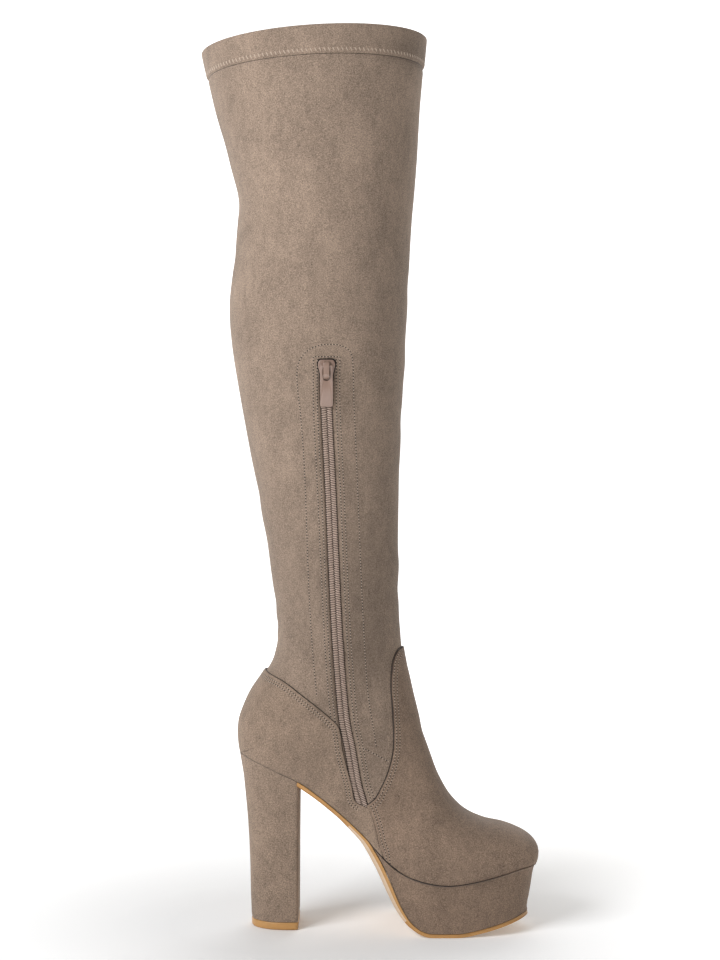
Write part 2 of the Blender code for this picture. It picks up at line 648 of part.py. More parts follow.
def make_slider(place):
    """A plate with an arched bridge along it, and the hole under the bridge that the pull's bar goes through."""
    plate_z = 2 * GAP + SLIDER_PLATE / 2
    plate_size = (SLIDER_WIDTH, SLIDER_LENGTH, SLIDER_PLATE)
    slider = box("zip_slider", plate_size, (0, 0, plate_z), "lacquer", 0.35)
    bridge_size = (BRIDGE_WIDTH, BRIDGE_LENGTH, BRIDGE_HEIGHT + SLIDER_PLATE)
    bridge = as_cutter(box("slider_bridge", bridge_size, (0, 0, plate_z + BRIDGE_HEIGHT / 2), "lacquer"))
    hole_size = (2 * BRIDGE_WIDTH, EYE_HOLE_HEIGHT, EYE_HOLE)
    hole_at = (0, PIVOT_UP - EYE_HOLE_DROP, PIVOT_OUT)
    hole = as_cutter(box("slider_hole", hole_size, hole_at, "lacquer", bevel=0))
    boolean(slider, bridge, "UNION")
    boolean(slider, hole, "DIFFERENCE")
    for piece in (slider, bridge, hole):
        piece.matrix_world = place


def make_pull(place):
    """The pull tab: a bar through the slider's bridge, two arms beside it and a flat plate below."""
    inside = BRIDGE_WIDTH / 2 + GAP + ARM_PLAY
    arm = (PULL_WIDTH - 2 * inside) / 2
    reach = PIVOT_UP + BRIDGE_LENGTH / 2 + EYE_BAR
    plate = PULL_LENGTH - reach
    pull = box("zip_pull", (PULL_WIDTH, plate, PULL_THICK), (0, -reach - plate / 2, 0), "lacquer", 0.35)
    bar = as_cutter(box("pull_bar", (PULL_WIDTH, EYE_BAR, EYE_BAR), (0, 0, 0), "lacquer", bevel=0.0002))
    boolean(pull, bar, "UNION")
    arms = [bar]
    size = (arm, reach + EYE_BAR / 2 + ARM_OVERLAP, 0.98 * PULL_THICK)
    for name, side in (("pull_arm_back", -1), ("pull_arm_front", 1)):
        middle = (side * (inside + arm / 2), -reach / 2 - EYE_BAR / 4, 0)
        arms.append(as_cutter(box(name, size, middle, "lacquer", bevel=0.0002)))
        boolean(pull, arms[-1], "UNION")
    pivot = place @ Matrix.Translation((0, PIVOT_UP, PIVOT_OUT)) @ Matrix.Rotation(PULL_LEAN, 4, "X")
    for piece in (pull, *arms):
        piece.matrix_world = pivot


for old in list(bpy.data.objects):
    bpy.data.objects.remove(old)
PARTS = bpy.data.collections.new("thigh_high_boot")
CUTTERS = bpy.data.collections.new("cutters")
bpy.context.scene.collection.children.link(PARTS)
bpy.context.scene.collection.children.link(CUTTERS)
make_upper()
make_vamp()
make_counter()
make_platform()
make_outsole()
make_heel()
make_top_piece()
make_insole()
make_zip()
SLIDER = slider_place()
make_slider(SLIDER)
make_pull(SLIDER)
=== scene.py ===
# %% [markdown]
# # A thigh high platform boot in suede
#
# One left boot, about 68 cm tall, in a warm taupe imitation suede. It has a plain stretchy shaft with a
# folded hem, a long inside zip, a vamp and a heel counter laid over the foot, a covered platform under the
# toes and a tall covered block heel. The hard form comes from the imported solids. This file dresses them:
# each piece is a surface worked out with numpy, and each finish is a material made of nodes.
#
# +X is towards the toe, +Y to the outer side and +Z up, in metres. The origin is under the heel.

# %% Load the solids
import json
import math

import bpy
import numpy as np
from mathutils import Matrix, Vector
from mathutils.bvhtree import BVHTree


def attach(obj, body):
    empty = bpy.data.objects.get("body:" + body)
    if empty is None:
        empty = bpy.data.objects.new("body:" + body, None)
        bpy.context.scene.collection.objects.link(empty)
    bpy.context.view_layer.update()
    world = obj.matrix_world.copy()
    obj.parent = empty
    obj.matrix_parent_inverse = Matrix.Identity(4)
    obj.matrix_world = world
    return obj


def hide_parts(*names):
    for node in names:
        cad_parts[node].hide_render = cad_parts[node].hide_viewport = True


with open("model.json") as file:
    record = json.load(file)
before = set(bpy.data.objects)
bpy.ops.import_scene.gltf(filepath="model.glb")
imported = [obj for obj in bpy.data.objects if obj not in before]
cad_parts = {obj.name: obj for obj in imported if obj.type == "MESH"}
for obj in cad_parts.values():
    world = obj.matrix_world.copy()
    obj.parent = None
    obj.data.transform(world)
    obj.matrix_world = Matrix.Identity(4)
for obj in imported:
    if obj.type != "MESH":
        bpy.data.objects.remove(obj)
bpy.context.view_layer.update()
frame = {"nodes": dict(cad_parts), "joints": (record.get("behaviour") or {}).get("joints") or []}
print("solids:", sorted(frame["nodes"]))

# %% [markdown]
# ## Camera, floor and light
#
# The boot stands with its inner side to the camera, which is level and about knee high on it, so the top
# and the sole are both seen nearly edge on. A long lens keeps the shaft from leaning. The floor bends up
# into a pale backdrop far behind, so no horizon shows. One broad soft light stands high on the left, and a
# white surrounding fills the shade, as in a catalogue picture.

# %% Camera, floor and light
CAMERA_PLACE = (0.0651, -1.26, 0.3414)
LENS = 61.3
FLOOR_HALF = 3.2
BACKDROP_BEND = 1.2
FLOOR_SINK = 0.0002
FLOOR_GLOW = 0.78
BACKDROP_GLOW = 0.75
GLOW_FROM = 0.08
GLOW_FULL = 0.62


def add_camera():
    camera = bpy.data.objects.new("camera", bpy.data.cameras.new("camera"))
    camera.location = CAMERA_PLACE
    camera.rotation_euler = (math.pi / 2, 0, 0)
    camera.data.lens = LENS
    camera.data.sensor_width = 36
    camera.data.clip_start = 0.05
    bpy.context.scene.collection.objects.link(camera)
    bpy.context.scene.camera = camera


def area_light(name, place, target, size, power, colour=(1, 1, 1)):
    """A square soft light of this size at place, turned towards target."""
    light = bpy.data.lights.new(name, "AREA")
    light.shape = "SQUARE"
    light.size = size
    light.energy = power
    light.color = colour
    holder = bpy.data.objects.new(name, light)
    holder.location = place
    holder.rotation_euler = (Vector(target) - Vector(place)).to_track_quat("-Z", "Y").to_euler()
    bpy.context.scene.collection.objects.link(holder)


def glowing_white(name, glow):
    """Flat white that glows more and more away from the boot: painted light, which keeps the floor white
    outside the boot's shadow and lights the boot a little.
    """
    paint = bpy.data.materials.new(name)
    paint.use_nodes = True
    shader = paint.node_tree.nodes["Principled BSDF"]
    shader.inputs["Base Color"].default_value = (0.93, 0.93, 0.93, 1)
    shader.inputs["Roughness"].default_value = 0.9
    shader.inputs["Specular IOR Level"].default_value = 0.1
    shader.inputs["Emission Strength"].default_value = glow
    tree = paint.node_tree
    place = tree.nodes.new("ShaderNodeTexCoord")
    away = tree.nodes.new("ShaderNodeVectorMath")
    away.operation = "LENGTH"
    tree.links.new(place.outputs["Object"], away.inputs[0])
    rise = tree.nodes.new("ShaderNodeMapRange")
    rise.inputs["From Min"].default_value = GLOW_FROM
    rise.inputs["From Max"].default_value = GLOW_FULL
    tree.links.new(away.outputs["Value"], rise.inputs["Value"])
    tree.links.new(rise.outputs["Result"], shader.inputs["Emission Color"])
    return paint


def add_floor():
    """A floor with a backdrop: straight to the bend, then a quarter circle, then straight up."""
    turn = np.linspace(0, math.pi / 2, 13)
    bend_y = FLOOR_HALF + BACKDROP_BEND * np.sin(turn)
    y = np.concatenate(([-FLOOR_HALF], bend_y, [FLOOR_HALF + BACKDROP_BEND]))
    z = np.concatenate(([0], BACKDROP_BEND * (1 - np.cos(turn)), [BACKDROP_BEND + FLOOR_HALF]))
    z -= FLOOR_SINK
    x = np.array([-2, 2]) * FLOOR_HALF
    points = [(side, a, b) for side in x for a, b in zip(y, z)]
    wide = len(y)
    mesh = bpy.data.meshes.new("floor")
    mesh.from_pydata(points, [], [(k, k + wide, k + wide + 1, k + 1) for k in range(wide - 1)])
    mesh.shade_smooth()
    floor = bpy.data.objects.new("floor", mesh)
    # The floor and the backdrop glow: painted light, none by the boot and full far from it.
    mesh.materials.append(glowing_white("floor_paint", FLOOR_GLOW))
    mesh.materials.append(glowing_white("backdrop_paint", BACKDROP_GLOW))
    mesh.polygons.foreach_set("material_index", [0] + [1] * (wide - 2))
    bpy.context.scene.collection.objects.link(floor)


def add_world(strength, colour):
    world = bpy.data.worlds.new("studio")
    world.use_nodes = True
    world.node_tree.nodes["Background"].inputs["Color"].default_value = colour
    world.node_tree.nodes["Background"].inputs["Strength"].default_value = strength
    bpy.context.scene.world = world


add_camera()
add_floor()
add_world(0.24, (1, 0.96, 0.90, 1))
area_light("key", (-1.5, -1.5, 1.5), (0.03, 0, 0.35), 1.3, 50, (0.98, 1.0, 1.03))
area_light("back_fill", (0.4, 1.6, 1.6), (0.03, 0, 0.3), 1.6, 9)
bpy.context.scene.view_settings.view_transform = "Standard"
print("camera at", CAMERA_PLACE, "lens", LENS)

# %% [markdown]
# ## Sizes and tables
#
# The solids and this dressed model share one form, so the sizes and the tables of sections are the same
# numbers here as in the part. A table holds shares of a size, such as the foot's length, so that the form
# follows its sizes. Between the rows of a table the form is a smooth curve, which here is read much more
# closely than in the solids.

# %% Sizes of the last, the shaft, the walls and the zip
# Last and shaft
FOOT_LENGTH = 0.224
BALL_WIDTH = 0.081
INSTEP_HEIGHT = 0.0725
HEEL_HEIGHT = 0.1335
PLATFORM_HEIGHT = 0.0389
TOE_RISE = 0.011
TOE_SPRING = 0.012
HEEL_BACK_X = -0.0258
ANKLE_HEIGHT = 0.0945
ANKLE_DEPTH = 0.0935
ANKLE_WIDTH = 0.072
CALF_DEPTH = 0.1365
CALF_WIDTH = 0.112
THIGH_DEPTH = 0.172
THIGH_WIDTH = 0.132
SHAFT_HEIGHT = 0.5345
SHAFT_LEAN = 0.0212

# Walls and bottom
WALL = 0.0016
OVERLAY = 0.0013
GAP = 0.0003
OVERLAY_GAP = 0.0005
HEM_WIDTH = 0.0175
HEM_STEP = 0.0008
OUTSOLE = 0.0026
HEEL_BASE_LENGTH = 0.0364
HEEL_BASE_WIDTH = 0.042
TOP_PIECE = 0.0055

# Zip
ZIP_SLOT = 0.0092
ZIP_TAPE_WIDTH = 0.026
ZIP_TAPE = 0.0008
SLIDER_WIDTH = 0.0126
SLIDER_LENGTH = 0.0152
SLIDER_PLATE = 0.0018
BRIDGE_WIDTH = 0.0044
BRIDGE_LENGTH = 0.0132
BRIDGE_HEIGHT = 0.0042
PULL_WIDTH = 0.0094
PULL_LENGTH = 0.0311
PULL_THICK = 0.0012
PULL_LEAN = math.radians(5)

# %% Tables of sections
# Foot sections from the toe tip to the back of the heel seat, as shares: foot length, heel rise, toe rise,
# foot length and instep height of the top point, ball width of the half width, half width of the edge, ball
# width of the sideways shift, how far the inner side is drawn in as an arch, and the power that rounds it
LAST_COLUMNS = "along rise toe top_along top_up half feather shift arch round".split()
LAST = np.array((
    (1.000, 0.000, 1.00, 1.000, 0.000, 0.00, 0.80, -0.080, 0.00, 0.80),
    (0.995, 0.000, 1.02, 1.009, 0.068, 0.13, 0.86, -0.079, 0.00, 0.78),
    (0.975, 0.000, 1.03, 1.007, 0.140, 0.235, 0.92, -0.075, 0.00, 0.76),
    (0.941, 0.000, 0.99, 0.990, 0.216, 0.325, 0.94, -0.066, 0.00, 0.75),
    (0.892, 0.000, 0.79, 0.957, 0.313, 0.405, 0.955, -0.052, 0.00, 0.75),
    (0.830, 0.000, 0.48, 0.901, 0.427, 0.467, 0.96, -0.035, 0.00, 0.76),
    (0.758, 0.000, 0.17, 0.830, 0.524, 0.503, 0.968, -0.018, 0.00, 0.77),
    (0.687, 0.000, 0.00, 0.763, 0.650, 0.516, 0.97, -0.005, 0.00, 0.78),
    (0.615, 0.015, 0.00, 0.711, 0.789, 0.512, 0.965, 0.006, 0.02, 0.80),
    (0.553, 0.059, 0.00, 0.675, 0.917, 0.492, 0.955, 0.013, 0.05, 0.82),
    (0.504, 0.128, 0.00, 0.649, 1.007, 0.468, 0.94, 0.018, 0.08, 0.85),
    (0.459, 0.223, 0.00, 0.631, 1.048, 0.446, 0.905, 0.020, 0.10, 0.88),
    (0.419, 0.334, 0.00, 0.616, 1.055, 0.431, 0.85, 0.020, 0.11, 0.90),
    (0.374, 0.440, 0.00, 0.605, 1.055, 0.423, 0.79, 0.018, 0.10, 0.91),
    (0.321, 0.556, 0.00, 0.594, 1.041, 0.424, 0.75, 0.014, 0.08, 0.92),
    (0.263, 0.672, 0.00, 0.584, 1.014, 0.431, 0.725, 0.009, 0.05, 0.93),
    (0.200, 0.783, 0.00, 0.576, 0.979, 0.440, 0.716, 0.004, 0.02, 0.94),
    (0.133, 0.859, 0.00, 0.569, 0.977, 0.444, 0.69, 0.000, 0.00, 0.95),
    (0.080, 0.917, 0.00, 0.563, 0.978, 0.446, 0.62, 0.000, 0.00, 0.95),
    (0.039, 0.959, 0.00, 0.559, 0.978, 0.446, 0.47, 0.000, 0.00, 0.95),
    (0.010, 0.989, 0.00, 0.557, 0.979, 0.445, 0.25, 0.000, 0.00, 0.95),
    (0.000, 1.000, 0.00, 0.5545, 1.000, 0.444, 0.00, 0.000, 0.00, 0.95),
))

# Loops round the heel and ankle, as shares: ankle height and depth of the back point, foot length and
# instep height of the front point, ankle width
ANKLE_COLUMNS = "up back top_along top_up width".split()
ANKLE = np.array((
    (0.122, -0.016, 0.551, 1.062, 1.000),
    (0.249, -0.009, 0.548, 1.124, 1.005),
    (0.370, 0.032, 0.546, 1.193, 1.010),
    (0.492, 0.091, 0.544, 1.276, 1.010),
    (0.612, 0.174, 0.5415, 1.372, 1.010),
    (0.735, 0.252, 0.540, 1.483, 1.005),
    (0.856, 0.282, 0.539, 1.607, 1.000),
))

# Loops up the leg, as shares: shaft above the ankle, ankle depth that the front stands above the back,
# forward lean, and the depth and width of the girth that the row follows
LEG_COLUMNS = "level tilt lean depth width".split()
LEG = (
    ("ankle", (0.000, 0.353, 0.000, 1.000, 1.000)),
    ("ankle", (0.048, 0.289, -0.010, 1.015, 1.010)),
    ("ankle", (0.100, 0.214, -0.014, 1.047, 1.045)),
    ("ankle", (0.152, 0.160, -0.005, 1.081, 1.100)),
    ("ankle", (0.205, 0.107, 0.010, 1.135, 1.170)),
    ("calf", (0.257, 0.075, 0.028, 0.808, 0.800)),
    ("calf", (0.310, 0.043, 0.080, 0.850, 0.850)),
    ("calf", (0.416, 0.000, 0.164, 0.925, 0.930)),
    ("calf", (0.500, 0.000, 0.250, 0.980, 0.980)),
    ("calf", (0.565, 0.000, 0.340, 1.003, 1.000)),
    ("calf", (0.652, 0.000, 0.416, 0.988, 1.000)),
    ("calf", (0.705, 0.000, 0.480, 0.980, 0.990)),
    ("calf", (0.730, 0.000, 0.523, 0.976, 0.990)),
    ("calf", (0.757, 0.000, 0.575, 0.994, 1.000)),
    ("thigh", (0.809, 0.021, 0.668, 0.837, 0.890)),
    ("thigh", (0.861, 0.043, 0.738, 0.882, 0.920)),
    ("thigh", (0.914, 0.064, 0.818, 0.928, 0.950)),
    ("thigh", (1.000, 0.123, 1.000, 1.000, 1.000)),
)
GIRTHS = {
    "ankle": (ANKLE_DEPTH, ANKLE_WIDTH),
    "calf": (CALF_DEPTH, CALF_WIDTH),
    "thigh": (THIGH_DEPTH, THIGH_WIDTH),
}

# Underside of the outsole below the last's first rows, as shares: foot length, platform height, toe spring,
# and how far the side slopes in under the upper's edge, of the ball width. Behind them it follows the waist
BASE_COLUMNS = "along lift spring inset".split()
BASE = np.array((
    (0.975, 0.000, 1.00, 0.000),
    (0.970, 0.000, 0.99, 0.004),
    (0.950, 0.000, 0.93, 0.008),
    (0.919, 0.000, 0.80, 0.012),
    (0.870, 0.000, 0.57, 0.016),
    (0.803, 0.000, 0.27, 0.018),
    (0.722, 0.000, 0.00, 0.018),
    (0.624, 0.000, 0.00, 0.018),
    (0.564, 0.159, 0.00, 0.016),
    (0.521, 0.501, 0.00, 0.012),
    (0.486, 0.964, 0.00, 0.008),
    (0.452, 1.375, 0.00, 0.004),
))
BALL_SKEW = 0.085
BALL_ROW = 6
PLATFORM_END = 12
SEAT_FRONT = 16
SEAT_BACK = 21

# The heel block's way from its seat to its base, as shares: depth below the seat, taper reached
HEEL_TAPER = ((0.0, 0.0), (0.145, 0.33), (0.4, 0.66), (0.63, 0.84), (0.87, 0.92), (1.0, 1.0))

# Outlines seen from the side, as shares: foot length from the heel's back, instep height above the seat
COUNTER_EDGE = (
    (-0.15, 1.13), (0.08, 0.86), (0.152, 0.77), (0.215, 0.63), (0.279, 0.476), (0.328, 0.34), (0.339, 0.247),
    (0.346, 0.092), (0.359, -0.083), (0.376, -0.28), (0.385, -0.43), (0.394, -0.505), (0.410, -0.522),
)
COUNTER_TOP = COUNTER_EDGE[:-2] + ((0.393, -0.475), (0.409, -0.508))
SEAM_EDGE = (
    (0.432, -0.535), (0.445, -0.605), (0.461, -0.774), (0.470, -0.908), (0.485, -1.094), (0.49, -1.9),
)
COUNTER_LINE = COUNTER_TOP + SEAM_EDGE
VAMP_EDGE = (
    (0.4285, -0.513), (0.4545, -0.450), (0.470, -0.37), (0.488, -0.257), (0.505, -0.12), (0.516, 0.023),
    (0.5195, 0.168), (0.518, 0.313), (0.514, 0.52), (0.510, 0.70), (0.512, 0.878), (0.518, 0.983),
    (0.532, 1.07), (0.55, 1.10), (0.62, 1.11),
)

# Middle line of the zip from its foot to its top, as shares: foot length, instep and shaft height
ZIP_LINE = (
    (0.410, -0.475, 0.0), (0.392, -0.269, 0.0), (0.372, 0.092, 0.0), (0.351, 0.443, 0.0), (0.332, 0.0, 0.156),
    (0.319, 0.0, 0.265), (0.308, 0.0, 0.376), (0.2955, 0.0, 0.489), (0.2955, 0.0, 0.556),
)
ROUND_LEG = 0.97
LEG_FRONT = 0.538
print("sections:", len(LAST), "in the foot,", len(ANKLE), "at the ankle,", len(LEG), "up the leg")

# %% [markdown]
# ## The form of the last and the shaft
#
# A boot's upper is one skin that is drawn over a last. It is described by sections from the toe tip to the
# heel and on up the leg, each a slanted half loop from the inner edge over the front to the outer edge. A
# point on the skin is found from two numbers: a row, which may lie between two sections, and a place
# across, from -1 at the inner edge over 0 at the front to 1 at the outer. Every seam, panel, stitch and
# zip tooth below is placed with these two numbers, so all of them lie on the same skin.

# %% Sections and skin
STEP_ACROSS = 0.004
STEP_ALONG = 0.02
EDGE_FROM = 0.97


def named_columns(table, names):
    return dict(zip(names, table.T))


def foot_rows():
    """One line for each foot section: back x, z, front x, z, half width, feather, shift, arch, round."""
    foot = named_columns(LAST, LAST_COLUMNS)
    rise = foot["rise"] * (HEEL_HEIGHT - PLATFORM_HEIGHT)
    z = PLATFORM_HEIGHT + rise + foot["toe"] * TOE_RISE
    return np.column_stack((
        HEEL_BACK_X + foot["along"] * FOOT_LENGTH, z,
        HEEL_BACK_X + foot["top_along"] * FOOT_LENGTH, z + foot["top_up"] * INSTEP_HEIGHT,
        foot["half"] * BALL_WIDTH, foot["feather"], foot["shift"] * BALL_WIDTH, foot["arch"], foot["round"],
    ))


def ankle_rows():
    """The same line for each loop at the ankle, where the skin is closed at the back and has no arch."""
    ankle = named_columns(ANKLE, ANKLE_COLUMNS)
    plain = np.zeros(len(ANKLE))
    return np.column_stack((
        HEEL_BACK_X + ankle["back"] * ANKLE_DEPTH, HEEL_HEIGHT + ankle["up"] * ANKLE_HEIGHT,
        HEEL_BACK_X + ankle["top_along"] * FOOT_LENGTH, HEEL_HEIGHT + ankle["top_up"] * INSTEP_HEIGHT,
        ankle["width"] * ANKLE_WIDTH / 2, plain, plain, plain, plain + ROUND_LEG,
    ))


def leg_rows():
    """The same line for each loop up the leg, whose depth and width are shares of the nearest girth's."""
    leg = named_columns(np.array([row for girth, row in LEG]), LEG_COLUMNS)
    girth_depth, girth_width = np.array([GIRTHS[girth] for girth, row in LEG]).T
    front = HEEL_BACK_X + LEG_FRONT * FOOT_LENGTH + leg["lean"] * SHAFT_LEAN
    z = HEEL_HEIGHT + ANKLE_HEIGHT + leg["level"] * (SHAFT_HEIGHT - ANKLE_HEIGHT)
    plain = np.zeros(len(LEG))
    return np.column_stack((
        front - leg["depth"] * girth_depth, z, front, z + leg["tilt"] * ANKLE_DEPTH,
        leg["width"] * girth_width / 2, plain, plain, plain, plain + 1,
    ))


def between(table, rows):
    """The table read between its rows, on the smooth curve through them (Catmull and Rom's)."""
    rows = np.clip(np.asarray(rows, float), 0, len(table) - 1)
    first = np.minimum(rows.astype(int), len(table) - 2)
    t = (rows - first)[:, None]
    padded = np.vstack((2 * table[0] - table[1], table, 2 * table[-1] - table[-2]))
    a, b, c, d = (padded[first + k] for k in range(4))
    return b + t / 2 * (c - a + t * (2 * a - 5 * b + 4 * c - d + t * (3 * (b - c) + d - a)))


SECTIONS = np.vstack((foot_rows(), ankle_rows(), leg_rows()))
COLLAR = len(SECTIONS) - 1
COLLAR_ROW_HEIGHT = SECTIONS[COLLAR, 1] - SECTIONS[COLLAR - 1, 1]


def ramp(values, start, end):
    """0 before start, 1 after end and a straight rise between them."""
    return np.clip((values - start) / (end - start), 0, 1)


def below_collar(distance):
    """The row that lies this far below the top of the collar, along the front."""
    return COLLAR - distance / COLLAR_ROW_HEIGHT


def ball_share(rows):
    """1 round the ball and waist, where the sole's line runs aslant, fading to 0 at toe tip and heel."""
    return np.clip(rows / 4, 0, 1) * np.clip((SEAT_FRONT - rows) / 4, 0, 1)


def skin(rows, across):
    """Points of the skin at rows by across, where across is one line for all rows or one for each.

    In its own slanted plane a section leaves the edge at the feather's half width, swells to the half width
    and closes at the front point: y = half sin(a)^round, and the way from back to front goes as 1 - cos(a).
    """
    rows = np.asarray(rows, float)
    across = np.atleast_2d(across)
    back_x, back_z, front_x, front_z, half, feather, shift, arch, power = (
        values[:, None] for values in between(SECTIONS, rows).T
    )
    start = np.arcsin(np.clip(feather, 0, 1) ** (1 / power))
    angle = start + (np.pi - start) * (1 - np.abs(across))
    way = (np.cos(start) - np.cos(angle)) / (1 + np.cos(start))
    inner = 1 - arch * (across < 0)
    y = shift * (1 - way) + np.sign(across) * half * inner * np.abs(np.sin(angle)) ** power
    x = back_x + way * (front_x - back_x) - BALL_SKEW * ball_share(rows)[:, None] * y * (1 - way)
    return np.stack((x, y, back_z + way * (front_z - back_z)), axis=2)


def unit(vectors):
    return vectors / np.maximum(np.linalg.norm(vectors, axis=-1, keepdims=True), 1e-12)


def outward(rows, across):
    """Unit normals of the skin: the step across crossed with the step along, at each point.

    At the foot's edge the wall stands upright, so the normals there are turned level.
    """
    rows = np.asarray(rows, float)
    across = np.broadcast_to(np.atleast_2d(across), (len(rows), np.atleast_2d(across).shape[1]))
    left = np.clip(across - STEP_ACROSS, -1, 1)
    right = np.clip(across + STEP_ACROSS, -1, 1)
    low = np.clip(rows - STEP_ALONG, 0, COLLAR)
    high = np.clip(rows + STEP_ALONG, 0, COLLAR)
    normals = unit(np.cross(skin(rows, right) - skin(rows, left), skin(high, across) - skin(low, across)))
    edge = np.clip((np.abs(across) - EDGE_FROM) / 0.03, 0, 1)[:, :, None] * (rows <= SEAT_BACK)[:, None, None]
    sideways = np.stack((normals[:, :, 0], normals[:, :, 1], np.zeros_like(across)), axis=2)
    normals = unit(normals * (1 - edge) + unit(sideways) * edge)
    waist = (rows > BALL_ROW) & (rows <= SEAT_FRONT)
    plain = np.stack((np.zeros_like(across), np.sign(across), np.zeros_like(across)), axis=2)
    normals = np.where(waist[:, None, None] & (edge > 0), unit(normals * (1 - edge) + plain * edge), normals)
    normals[rows < 0.01] = (1, 0, 0)
    return normals


def row_steps(low, high, spacing, beside=-0.5):
    """Rows from low to high about this far apart, measured along the skin's line at one place across."""
    fine = np.linspace(low, high, 2000)
    length = run_length(skin(fine, [beside])[:, 0])
    return np.interp(np.linspace(0, length[-1], int(length[-1] / spacing) + 1), length, fine)


print("skin rows: 0 to", COLLAR, "height", round(float(SECTIONS[COLLAR, 3]), 4))

# %% [markdown]
# ## Lines drawn on the skin
#
# The edge of a panel, a seam and the zip were first drawn on the side view, as a pattern cutter marks a
# last. Here such a line is a smooth curve of x and z, and the skin is searched along each row for where it
# crosses the line. Halving the interval again and again finds the place to a hundredth of a millimetre,
# for all rows at once.

# %% Crossings of side view lines
def side_line(shares, spacing=0.0015, shift=0.0):
    """A smooth line of x and z through shares of foot length and instep height, shifted to one side."""
    along, up = np.array(shares).T
    knots = np.column_stack((HEEL_BACK_X + along * FOOT_LENGTH, HEEL_HEIGHT + up * INSTEP_HEIGHT))
    line = between(knots, np.linspace(0, len(knots) - 1, 40 * len(knots)))
    if shift:
        way = unit(np.gradient(line, axis=0))
        line = line + shift * np.column_stack((-way[:, 1], way[:, 0]))
    return resampled(line, spacing)


def run_length(line):
    """Length of the line up to each of its points."""
    return np.concatenate(([0], np.cumsum(np.linalg.norm(np.diff(line, axis=0), axis=1))))


def resampled(line, spacing, values=None):
    """The line's points about this far apart, or the values of its points at the same steps."""
    length = run_length(line)
    at = np.linspace(0, length[-1], max(int(round(length[-1] / spacing)), 2) + 1)
    values = line if values is None else values
    return np.column_stack([np.interp(at, length, column) for column in values.T])


def inside(points, outline):
    """Whether points of x, y and z lie in an outline of x and z: a ray meets it an odd number of times."""
    x, z = points[..., 0][..., None], points[..., 2][..., None]
    x0, z0 = outline.T
    x1, z1 = np.roll(outline, -1, axis=0).T
    rise = np.where(np.abs(z1 - z0) < 1e-12, 1e-12, z1 - z0)
    crossed = ((z0 > z) != (z1 > z)) & (x < x0 + (z - z0) / rise * (x1 - x0))
    return crossed.sum(axis=-1) % 2 == 1


def crossing(rows, outline, side, within, beyond):
    """Where across each row meets the outline, between a place within it and a place beyond it."""
    for _ in range(14):
        middle = (within + beyond) / 2
        ok = inside(skin(rows, side * middle[:, None])[:, 0], outline)
        within, beyond = np.where(ok, middle, within), np.where(ok, beyond, middle)
    return within


def reach(rows, outline, side):
    """How far across each row stays within the outline, from the back edge, at 0, towards the front, at 1."""
    across = 1 - np.linspace(0, 1, 161)
    out = ~inside(skin(rows, side * across), outline)
    first = np.where(out.any(axis=1), out.argmax(axis=1), len(across))
    last_in = across[np.clip(first - 1, 0, None)]
    first_out = across[np.clip(first, 0, len(across) - 1)]
    found = crossing(rows, outline, side, last_in, first_out)
    return np.where(first == len(across), 1.0, np.where(first == 0, 0.0, 1 - found))


def stretches(rows, outline, side):
    """Where each row, from the front, first leaves the outline, and where its last stretch starts and ends.

    The last of the four values says which rows have two stretches, as the outline is hollow there.
    """
    shares = np.linspace(0, 1, 321)
    last = len(shares) - 1
    number = np.arange(len(shares))
    within = inside(skin(rows, side * shares), outline)
    first_out = np.where(within.all(axis=1), len(shares), (~within).argmax(axis=1))
    last_in = last - within[:, ::-1].argmax(axis=1)
    hollow_end = np.where(~within & (number < last_in[:, None]), number, 0).max(axis=1)

    def found(index_within, index_beyond):
        places = (shares[np.clip(index, 0, last)] for index in (index_within, index_beyond))
        return crossing(rows, outline, side, *places)

    first = np.where(first_out == len(shares), 1.0, found(first_out - 1, first_out))
    start = found(hollow_end + 1, hollow_end)
    end = np.where(last_in == last, 1.0, found(last_in, last_in + 1))
    return first, start, end, first_out < last_in


def last_within(outline, across, within, beyond):
    """The row where the skin's line at this place across leaves the outline, between one row and another."""
    for _ in range(30):
        middle = (within + beyond) / 2
        if inside(skin([middle], [across])[:, 0], outline)[0]:
            within = middle
        else:
            beyond = middle
    return within


def zip_middle():
    """The zip's middle line on the side view, smooth, and carried straight on past both ends."""
    knots = np.array([
        (HEEL_BACK_X + along * FOOT_LENGTH, HEEL_HEIGHT + foot * INSTEP_HEIGHT + leg * SHAFT_HEIGHT)
        for along, foot, leg in ZIP_LINE
    ])
    line = between(knots, np.linspace(0, len(knots) - 1, 400))
    low, high = unit(line[0] - line[4]), unit(line[-1] - line[-5])
    return np.vstack((line[0] + 0.06 * low, line, line[-1] + 0.3 * high))


ZIP_X, ZIP_Z = zip_middle().T
ZIP_FOOT_Z = float(ZIP_Z[1])
ZIP_TOP_Z = float(ZIP_Z[-2])


def beside_zip(points):
    """Distance of points in front of the zip's middle line, on the side view, square to the line."""
    lean = np.gradient(ZIP_X, ZIP_Z)
    x = np.interp(points[..., 2], ZIP_Z, ZIP_X)
    slope = np.interp(points[..., 2], ZIP_Z, lean)
    return (points[..., 0] - x) / np.sqrt(1 + slope ** 2)


def zip_across(rows, distance):
    """Where across, on the inner side, each row lies this far in front of the zip's middle line."""
    across = np.linspace(-1, 0, 400)
    beside = beside_zip(skin(rows, across))
    distance = np.broadcast_to(distance, (len(rows),))
    return np.array([np.interp(d, line, across) for d, line in zip(distance, beside)])


print("zip from z", round(ZIP_FOOT_Z, 4), "to", round(ZIP_TOP_Z, 4))

# %% [markdown]
# ## Creases and soft folds
#
# Stretch suede on a form lies smooth, but it isn't dead flat: the leg hollows softly behind the knee,
# wrinkles at the ankle where the foot bends, and pulls a little along the zip. These could be painted as
# bump, but they turn the light over a centimetre or more, so they belong in the shape. Each crease is a
# short line on the side view with a width and a depth. Every point near it is pushed in, or out where the
# depth is less than nothing, along a bell curve. The panels and the zip get the same relief, so they follow.

